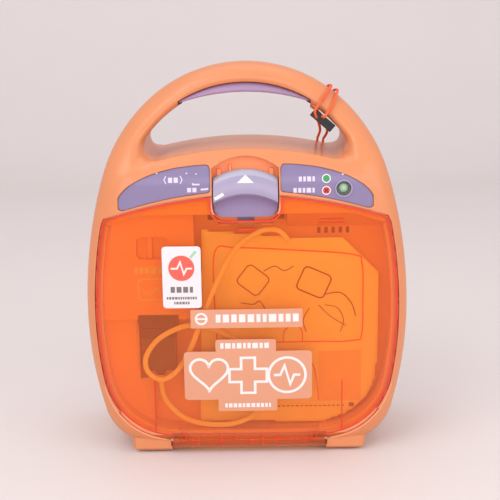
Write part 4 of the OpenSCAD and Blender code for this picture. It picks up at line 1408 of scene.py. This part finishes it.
def bars(x0, x1, z, height, seed, gap=0.28):
    """A row of plain blocks where a label carries a line of print."""
    pick = random.Random(seed)
    shapes = []
    x = x0
    while x < x1 - height * 0.4:
        width = height * pick.uniform(0.45, 1.0)
        width = min(width, x1 - x)
        shapes.append([(x, z), (x + width, z), (x + width, z + height), (x, z + height)])
        x += width + height * gap
    return shapes


def heart_outline(cx, cz, size):
    points = []
    for i in range(48):
        t = 2 * math.pi * (i + 0.5) / 48
        up = 13 * math.cos(t) - 5 * math.cos(2 * t) - 2 * math.cos(3 * t) - math.cos(4 * t)
        points.append((cx + 16 * size * math.sin(t) ** 3, cz + size * up))
    return points


def plus_outline(cx, cz, reach, half):
    quarter = [(half, half), (reach, half), (reach, -half)]
    points = []
    for turn in range(4):
        c, s = ((1, 0), (0, -1), (-1, 0), (0, 1))[turn]
        points += [(cx + x * c - z * s, cz + x * s + z * c) for x, z in quarter]
    return points


def big_decal_shapes():
    """Three plain outlined shapes in a row: a heart, a plus and a ring round a pulse."""
    middle = 55.2
    ring = arc((25.0, middle), 11.8, 0, 2 * math.pi, 56)
    pulse = [(16.5, middle), (20.6, middle), (23.4, middle + 6.4), (27.0, middle - 6.4), (29.4, middle),
             (33.5, middle)]
    shapes = [(heart_outline(-25.0, 57.4, 0.76), True), (plus_outline(0.0, middle, 12.0, 4.4), True),
              (ring, True), (pulse, False)]
    return [ribbon(line, 1.7, skin_y, 0.27, closed=closed) for line, closed in shapes]


def lid_decals():
    plate = sheet_solid("name_plate_film", card_cols(-36, 35, 87.2, 99.5, 0.8), 6, -0.2, -0.02, salmon_film)
    decal = sheet_solid("main_decal_film", card_cols(-41, 41, 38.6, 71.6, 2.6), 10, -0.2, -0.02, salmon_film)
    upper = sheet_solid("decal_upper", card_cols(-20.6, 18, 71.0, 79.6, 1.6), 4, -0.19, -0.03, salmon_film)
    lower = sheet_solid("decal_lower", card_cols(-19.4, 18.6, 30.6, 39.2, 1.2), 4, -0.19, -0.03, salmon_film)
    decal = crisp(joined("main_decal_card", [decal, upper, lower]))
    sticker = sheet_solid("lid_sticker_card", card_cols(-53, -28.6, 100.7, 140.6, 2.2), 8, -0.2, -0.02,
                          sticker_film)
    for piece, node, slot in ((plate, "name_plate", "decal_film"), (decal, "main_decal", "decal_film"),
                              (sticker, "lid_sticker", "label_paper")):
        crisp(piece)
        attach(piece, "lid")
        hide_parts(node)
    white = [patch(shape, skin_y, 0.27) for shape in bars(-20, 32.5, 91.0, 5.2, 3)]
    ring = arc((-29.2, 93.4), 3.4, 0, 2 * math.pi, 28)
    white.append(ribbon(ring, 1.3, skin_y, 0.27, closed=True))
    white.append(ribbon([(-32, 93.4), (-26.4, 93.4)], 1.1, skin_y, 0.28))
    white += big_decal_shapes()
    white += [patch(shape, skin_y, 0.27) for shape in bars(-17.5, 15.5, 73.6, 3.6, 8)]
    white += [patch(shape, skin_y, 0.27) for shape in bars(-15, 14.5, 33.2, 2.8, 21)]
    marks("lid_print_white", white, white_ink, "lid")
    heart = arc((-40.9, 126.6), 8.2, 0, 2 * math.pi, 40)
    marks("sticker_print_coral", [patch(heart, skin_y, 0.26)], coral_ink, "lid")
    pulse = [(-47.6, 126.4), (-43.6, 126.4), (-41.6, 130.6), (-39.4, 122.8), (-37.6, 126.4), (-34.2, 126.4)]
    marks("sticker_print_pulse", [ribbon(pulse, 1.1, skin_y, 0.31)], white_ink, "lid")
    accent = [(-35.2, 133.4), (-31.6, 137.4)]
    marks("sticker_print_green", [ribbon(accent, 1.6, skin_y, 0.27)], pale_green_ink, "lid")
    grey = [patch(shape, skin_y, 0.26) for shape in bars(-48, -33.4, 110.8, 3.8, 12)]
    grey += [patch(shape, skin_y, 0.26) for shape in bars(-50.6, -31, 106.4, 1.7, 13)]
    grey += [patch(shape, skin_y, 0.26) for shape in bars(-46, -35.5, 103.2, 1.7, 14)]
    marks("sticker_print_grey", grey, grey_ink, "lid")


clear_lid()
lid_ribs()
lid_decals()

# ---- Label panels' print and the status window ----


def panel_y(x, z):
    return skin_y(x, z) + 0.8


def panel_print():
    """Generic marks on both panels: blocks, a bracketed block, a chevron and two indicator dots."""
    faint = []
    chevron = [(-36.4, 186.6), (-32.4, 179.4), (-28.2, 179.4)]
    faint.append(ribbon(chevron, 1.0, panel_y, 0.06))
    faint.append(ribbon([(-32.6, 179.6), (-30.2, 186.2)], 0.9, panel_y, 0.07))
    for side in (-1, 1):
        bracket = [(-44.6 + side * (5.6 - 1.2 * abs(t)), 182.4 - 2.4 * t) for t in (-1, -0.5, 0, 0.5, 1)]
        faint.append(ribbon(bracket, 0.6, panel_y, 0.06))
    faint += [patch(shape, panel_y, 0.06) for shape in bars(-47.6, -41.6, 180.6, 3.2, 5)]
    faint += [patch(shape, panel_y, 0.06) for shape in bars(-36, -28.6, 174.6, 2.8, 6)]
    faint.append(ribbon([(-27.6, 176.2), (-22.9, 176.6)], 1.2, panel_y, 0.06))
    faint += [patch(shape, panel_y, 0.06) for shape in bars(33.0, 44.4, 180.4, 3.0, 7)]
    faint += [patch(shape, panel_y, 0.06) for shape in bars(29.6, 44.4, 173.4, 3.0, 9)]
    marks("panel_print_pale", faint, faint_ink, "base")
    rings = []
    for z in (182.0, 174.6):
        rings.append(ribbon(arc((50.0, z), 2.45, 0, 2 * math.pi, 28), 0.6, panel_y, 0.07, closed=True))
    rings.append(patch(arc((60.2, 184.6), 0.7, 0, 2 * math.pi, 16), panel_y, 0.07))
    rings.append(patch(arc((-54.6, 186.6), 0.6, 0, 2 * math.pi, 16), panel_y, 0.07))
    marks("panel_print_white", rings, white_ink, "base")
    green = [patch(arc((50.0, 182.0), 2.2, 0, 2 * math.pi, 28), panel_y, 0.05)]
    marks("panel_print_green", green, green_ink, "base")
    red = [patch(arc((50.0, 174.6), 2.2, 0, 2 * math.pi, 28), panel_y, 0.05)]
    marks("panel_print_red", red, red_ink, "base")
    cross = [ribbon([(48.6, 173.2), (51.4, 176.0)], 0.6, panel_y, 0.07),
             ribbon([(48.6, 176.0), (51.4, 173.2)], 0.6, panel_y, 0.08)]
    marks("panel_print_dark", cross, dark_plastic, "base")


def turned_ring(name, profile, material, n=48):
    """A ring round the status window from its (depth, radius) section."""
    x, z = STATUS_AT
    turns = [2 * math.pi * k / n for k in range(n)]
    points = [(x + r * math.cos(a), y, z + r * math.sin(a)) for y, r in profile for a in turns]
    m = len(profile)
    faces = [(i * n + j, i * n + (j + 1) % n, ((i + 1) % m) * n + (j + 1) % n, ((i + 1) % m) * n + j)
             for i in range(m) for j in range(n)]
    return crisp(outwards(new_piece(name, points, faces, material)), 45)


def status_window():
    """A thin ring, a dark ribbed funnel behind the lens, a pale well down to the disc and a pale cover in
    front of the disc as painted light.
    """
    x, z = STATUS_AT
    bezel = turned_ring("status_bezel_ring", [(-46.9, 5.4), (-47.55, 5.3), (-47.7, 5.0), (-47.6, 4.7),
                                              (-46.9, 4.6), (-46.2, 4.6), (-46.2, 5.4)], ring_lilac)
    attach(bezel, "base")
    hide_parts("status_bezel")
    lens_back = cad_box("status_lens")[1].y
    funnel = turned_ring("status_funnel", [
        (lens_back + 0.1, 4.5), (lens_back + 0.1, 4.1), (lens_back + 0.9, 2.7),
        (lens_back + 1.3, 2.7), (lens_back + 1.3, 4.5)], ring_dark)
    ribs = grown("status_funnel_ribs", RIB_RING, {"Count": 18, "Radius": 3.55, "Bar Size": (1.5, 0.36, 0.5),
                 "Middle": (x, lens_back + 0.45, z), "Turn": FACE_FRONT, "Finish": core_dark})
    well = turned_ring("status_well", [
        (lens_back + 1.4, 4.5), (lens_back + 1.4, 3.4), (-40.2, 4.1), (-40.2, 4.5)], well_white)
    # Pale cover in front of the disc: painted light for the shaded hole.
    diffuser = bar("status_diffuser_painted_light", (x, lens_back + 1.0, z), (x, lens_back + 1.2, z), 2.7, status_pale_cover)
    for piece in (funnel, ribs, well, diffuser):
        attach(piece, "base")


panel_print()
status_window()

# ---- Inside the lid ----

DECK_Y = -26.0
BLOCK_Y = -40.5


def deck_details():
    """What shows on the deck through the lid: a label, a latch tab, icons and a window's bar."""
    deck_face, block_face = flat_at(DECK_Y), flat_at(BLOCK_Y)
    pale = [patch(shape, block_face, 0.12) for shape in bars(-71, -51, 121.5, 4.2, 31)]
    frame_line = rounded_rect(-69, -52.5, 104, 118, 3.0)
    pale.append(ribbon(frame_line, 0.8, block_face, 0.12, closed=True))
    pale.append(ribbon([(-66.5, 111), (-62, 107), (-57, 112), (-54.5, 108)], 0.8, block_face, 0.12))
    marks("deck_label_pale", pale, white_ink, "base")
    amber = [patch(rounded_rect(-61.5, -58.5, 124.6, 127.0, 0.6, 3), block_face, 0.14),
             patch(rounded_rect(-53.0, -50.6, 117.5, 122.5, 0.6, 3), block_face, 0.14)]
    marks("deck_label_amber", amber, amber_ink, "base")
    dark = []
    for i in range(5):
        x = 45.6 + 4.6 * i
        dark.append(patch(rounded_rect(x, x + 2.2, 143.4, 147.4, 0.5, 2), deck_face, 0.12))
    marks("deck_icons_dark", dark, brown_ink, "base")
    red = [ribbon([(46, 151.2), (63, 151.2)], 0.9, flat_at(-31.0), 0.0),
           ribbon([(47, 154.0), (62, 154.0)], 0.9, flat_at(-33.6), 0.0)]
    marks("deck_icons_red", red, red_ink, "base")
    upright = block("deck_window_bar", (-62.6, -39.4, 131.0), (-59.4, -36.6, 144.8), deck_plastic, 0.5)
    tab = block("cable_tab", (-68.5, -39.0, 78.2), (-45.5, -38.1, 84.4), dark_plastic, 0.4)
    low, _ = cad_box("pads_plug")
    dots = grown("socket_vent_dots", DOT_GRID, {"Columns": 5, "Rows": 5, "Width": 8.0, "Height": 7.5,
                 "Dot Radius": 0.45, "Dot Depth": 0.4, "Middle": (-52.0, low.y - 0.1, 73.0),
                 "Turn": FACE_FRONT, "Finish": clip_black})
    for piece in (upright, tab, dots):
        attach(piece, "base")


# ---- Pads pouch ----

POUCH_OUTLINE = [(-32, 17.5), (50, 17), (63, 21.5), (71, 27), (78, 34.5), (82.5, 43), (85, 60),
                 (85.5, 119), (63, 142), (28, 143), (7, 145), (-29, 148.5), (-31, 100)]
POUCH_FRONT = -35.6
POUCH_BACK = -28.4


def inside_distance(x, z):
    """Distance from a point to the pouch's outline, positive inside."""
    best = 1e9
    inside = False
    n = len(POUCH_OUTLINE)
    for i in range(n):
        ax, az = POUCH_OUTLINE[i]
        bx, bz = POUCH_OUTLINE[(i + 1) % n]
        along = (x - ax) * (bx - ax) + (z - az) * (bz - az)
        t = max(0.0, min(1.0, along / ((bx - ax) ** 2 + (bz - az) ** 2)))
        best = min(best, math.hypot(x - ax - t * (bx - ax), z - az - t * (bz - az)))
        if (az > z) != (bz > z) and x < ax + (z - az) * (bx - ax) / (bz - az):
            inside = not inside
    return best if inside else -best


def crinkle(x, z):
    """Soft folds of the foil, from -1 to 1."""
    folds = math.sin(0.11 * x + 0.05 * z) * math.sin(0.07 * z - 0.03 * x + 1.0)
    creases = math.sin(0.31 * x - 0.22 * z + 2.0 * math.sin(0.05 * z)) * math.sin(0.19 * z + 0.13 * x)
    fine = math.sin(0.83 * x + 0.41 * z + 1.7 * math.sin(0.11 * x)) * math.sin(0.57 * z - 0.36 * x)
    return 0.55 * folds + 0.3 * creases + 0.15 * fine


def pouch_depth(x, z):
    """Depth of the pouch's front face: a flat sealed border round a softly puffed middle."""
    d = inside_distance(x, z)
    seal = 8.0
    puff = smooth_step((d - seal) / 16)
    crimp = 0.12 * math.sin(2.2 * d) * (1 - smooth_step((d - seal + 2) / 2))
    thick = 1.0 + 2.25 * puff + 0.55 * crinkle(x, z) * (0.25 + 0.75 * puff)
    middle = (POUCH_FRONT + POUCH_BACK) / 2
    edge = smooth_step(d / 1.2)
    return max(POUCH_FRONT + 0.05, middle - thick * edge - crimp)


def pads_pouch():
    """Sealed foil pouch with the pads inside, crinkled, with a flat crimped border."""
    step = 1.6
    spots, faces, index = [], [], {}
    low_x, high_x = min(p[0] for p in POUCH_OUTLINE), max(p[0] for p in POUCH_OUTLINE)
    low_z, high_z = min(p[1] for p in POUCH_OUTLINE), max(p[1] for p in POUCH_OUTLINE)
    columns = int((high_x - low_x) / step) + 1
    rows = int((high_z - low_z) / step) + 1
    middle = (POUCH_FRONT + POUCH_BACK) / 2

    def spot(i, j, near):
        key = (i, j, near)
        if key not in index:
            x, z = low_x + i * step, low_z + j * step
            index[key] = len(spots)
            front = pouch_depth(x, z)
            spots.append((x, front if near else 2 * middle - front, z))
        return index[key]

    kept = [(i, j) for i in range(columns) for j in range(rows)
            if inside_distance(low_x + (i + 0.5) * step, low_z + (j + 0.5) * step) > 0.6]
    cells = set(kept)
    for i, j in kept:
        faces.append([spot(i, j, True), spot(i + 1, j, True),
                      spot(i + 1, j + 1, True), spot(i, j + 1, True)])
        faces.append([spot(i, j, False), spot(i, j + 1, False),
                      spot(i + 1, j + 1, False), spot(i + 1, j, False)])
        for di, dj, (a, b), (c, d) in ((-1, 0, (0, 1), (0, 0)), (1, 0, (1, 0), (1, 1)),
                                       (0, -1, (0, 0), (1, 0)), (0, 1, (1, 1), (0, 1))):
            if (i + di, j + dj) not in cells:
                faces.append([spot(i + a, j + b, True), spot(i + a, j + b, False),
                              spot(i + c, j + d, False), spot(i + c, j + d, True)])
    pouch = outwards(new_piece("pads_pouch_foil", spots, faces, pouch_foil))
    pull = pouch.modifiers.new("soften", "SMOOTH")
    pull.factor = 0.5
    pull.iterations = 2
    crisp(finished(pouch), 60)
    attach(pouch, "base")
    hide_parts("pads_pouch")


def pouch_top(x, z):
    return pouch_depth(x, z)


def fine_path(points, n=10):
    return [(p.x, p.y) for p in spline([(x, z, 0) for x, z in points], n)]


def pouch_print():
    """Printed frame and simple pad outlines with their leads."""
    frame_line = fine_path([(-20, 76), (-21, 100), (-20, 134), (-6, 136), (30, 134), (68, 130.6), (74, 124),
                            (74.6, 100), (74, 77), (68, 73.6), (30, 73.4), (-14, 73.6), (-20, 76)], 8)
    soft = [ribbon(frame_line, 0.9, pouch_top, 0.22)]
    arch = fine_path([(23, 73), (24, 81), (30, 85), (35, 81), (35.5, 73)])
    soft.append(ribbon(arch, 0.7, pouch_top, 0.22))
    soft.append(ribbon(fine_path([(35, 66), (42, 58), (44.5, 48), (46, 33)]), 0.7, pouch_top, 0.22))
    marks("pouch_print_soft", soft, coral_ink, "base")

    def pad(cx, cz, w, h, tilt):
        outline = rounded_rect(-w / 2, w / 2, -h / 2, h / 2, 3.0, 5)
        c, s = math.cos(math.radians(tilt)), math.sin(math.radians(tilt))
        return [(cx + x * c - z * s, cz + x * s + z * c) for x, z in outline]

    dark = [ribbon(pad(4, 115, 17, 15, -38), 0.7, pouch_top, 0.24, closed=True),
            ribbon(pad(43, 113, 19, 16, -24), 0.9, pouch_top, 0.24, closed=True),
            ribbon(fine_path([(11, 121), (18, 124), (24, 121), (30, 124)]), 0.6, pouch_top, 0.24),
            ribbon(fine_path([(-4, 100), (4, 99), (8, 101), (12, 95)]), 0.6, pouch_top, 0.24),
            ribbon(fine_path([(50, 105), (60, 106), (67, 99), (70, 90)]), 0.7, pouch_top, 0.24),
            ribbon(fine_path([(50, 98), (58, 96), (62, 88), (60, 80)]), 0.5, pouch_top, 0.24),
            ribbon(fine_path([(40, 96), (36, 88), (38, 80)]), 0.5, pouch_top, 0.24),
            ribbon(fine_path([(46, 98), (54, 90), (64, 84)]), 0.5, pouch_top, 0.24)]
    marks("pouch_print_brown", dark, brown_ink, "base")
    rows = [(46.0, 74.0, 32 + 35 * k / 36) for k in range(37)]
    tint = [filled(rows, pouch_top, 0.16, across=30)]
    marks("pouch_print_block", tint, pouch_tint, "base")
    corner = [patch(rounded_rect(66, 69.4, 27.6, 30.4, 0.4, 2), pouch_top, 0.24)]
    marks("pouch_print_corner", corner, brown_ink, "base")
    tear_y = min(pouch_depth(x, 28.6) for x in range(20, 64, 2)) - 0.1
    tear = grown("pouch_tear_dashes", BAR_ROW, {
                 "Count": 15, "Step": (3.0, 0, 0), "Bar Size": (1.7, 0.2, 0.7),
                 "Middle": (20.0, tear_y, 28.6), "Turn": (0.0, 0.0, 0.0), "Finish": brown_ink})
    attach(tear, "base")


deck_details()
pads_pouch()
pouch_print()

# ---- Finishes of the pieces that keep their shape from the frame ----

FINISHES = {
    "status_lens": lens_clear, "status_disc": status_green, "status_actuator": dark_plastic,
    "inner_deck": deck_plastic, "shock_guard": button_red, "shock_button": button_red,
    "shock_switch": dark_plastic, "pads_socket": dark_plastic,
    "pads_plug": plug_plastic, "main_board": board_green, "capacitor": wrap_amber,
    "transformer": core_dark, "relay": dark_plastic, "speaker": dark_plastic,
    "battery_contacts": contact_gold, "battery_pack": battery_grey, "battery_label": label_white,
    "battery_latch": lever_lilac, "hinge_pin_left": screw_steel,
    "hinge_pin_right": screw_steel, "lever_slide": lever_lilac,
    "lever_switch": dark_plastic, "rear_label": label_white, "cord_clip": clip_black,
    "expiry_tag": tag_yellow}
for i in range(6):
    FINISHES[f"housing_screw_{i + 1}"] = screw_steel
for i in range(4):
    FINISHES[f"foot_{i + 1}"] = foot_rubber
for node, material in FINISHES.items():
    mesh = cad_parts[node].data
    mesh.materials.clear()
    mesh.materials.append(material)


# ---- Back label, battery label and tag print ----


def back_marks(name, shapes, material, body):
    """A printed layer that faces the back."""
    layer = marks(name, shapes, material, body)
    layer.data.flip_normals()
    return layer


def back_print():
    label_y = cad_box("rear_label")[1].y
    rows = []
    for i in range(6):
        rows += [patch(shape, flat_at(label_y), -0.06)
                 for shape in bars(-20, 24 - 6 * (i % 3), 118 + 5.2 * i, 2.0, 40 + i)]
    back_marks("rear_label_print", rows, grey_ink, "base")
    battery_y = cad_box("battery_label")[1].y
    rows = [patch(shape, flat_at(battery_y), -0.06)
            for k in range(3) for shape in bars(-26, 20, 57 + 6 * k, 2.4, 60 + k)]
    back_marks("battery_label_print", rows, grey_ink, "battery")
    tag_y = cad_box("expiry_tag")[1].y
    rows = [patch(shape, flat_at(tag_y), -0.06)
            for k in range(3) for shape in bars(41, 62, 100 + 8 * k, 3.0, 80 + k)]
    rows.append(ribbon(rounded_rect(38.6, 65.4, 94, 126, 2.0), 0.6, flat_at(tag_y), -0.06, closed=True))
    back_marks("tag_print", rows, brown_ink, "base")


back_print()
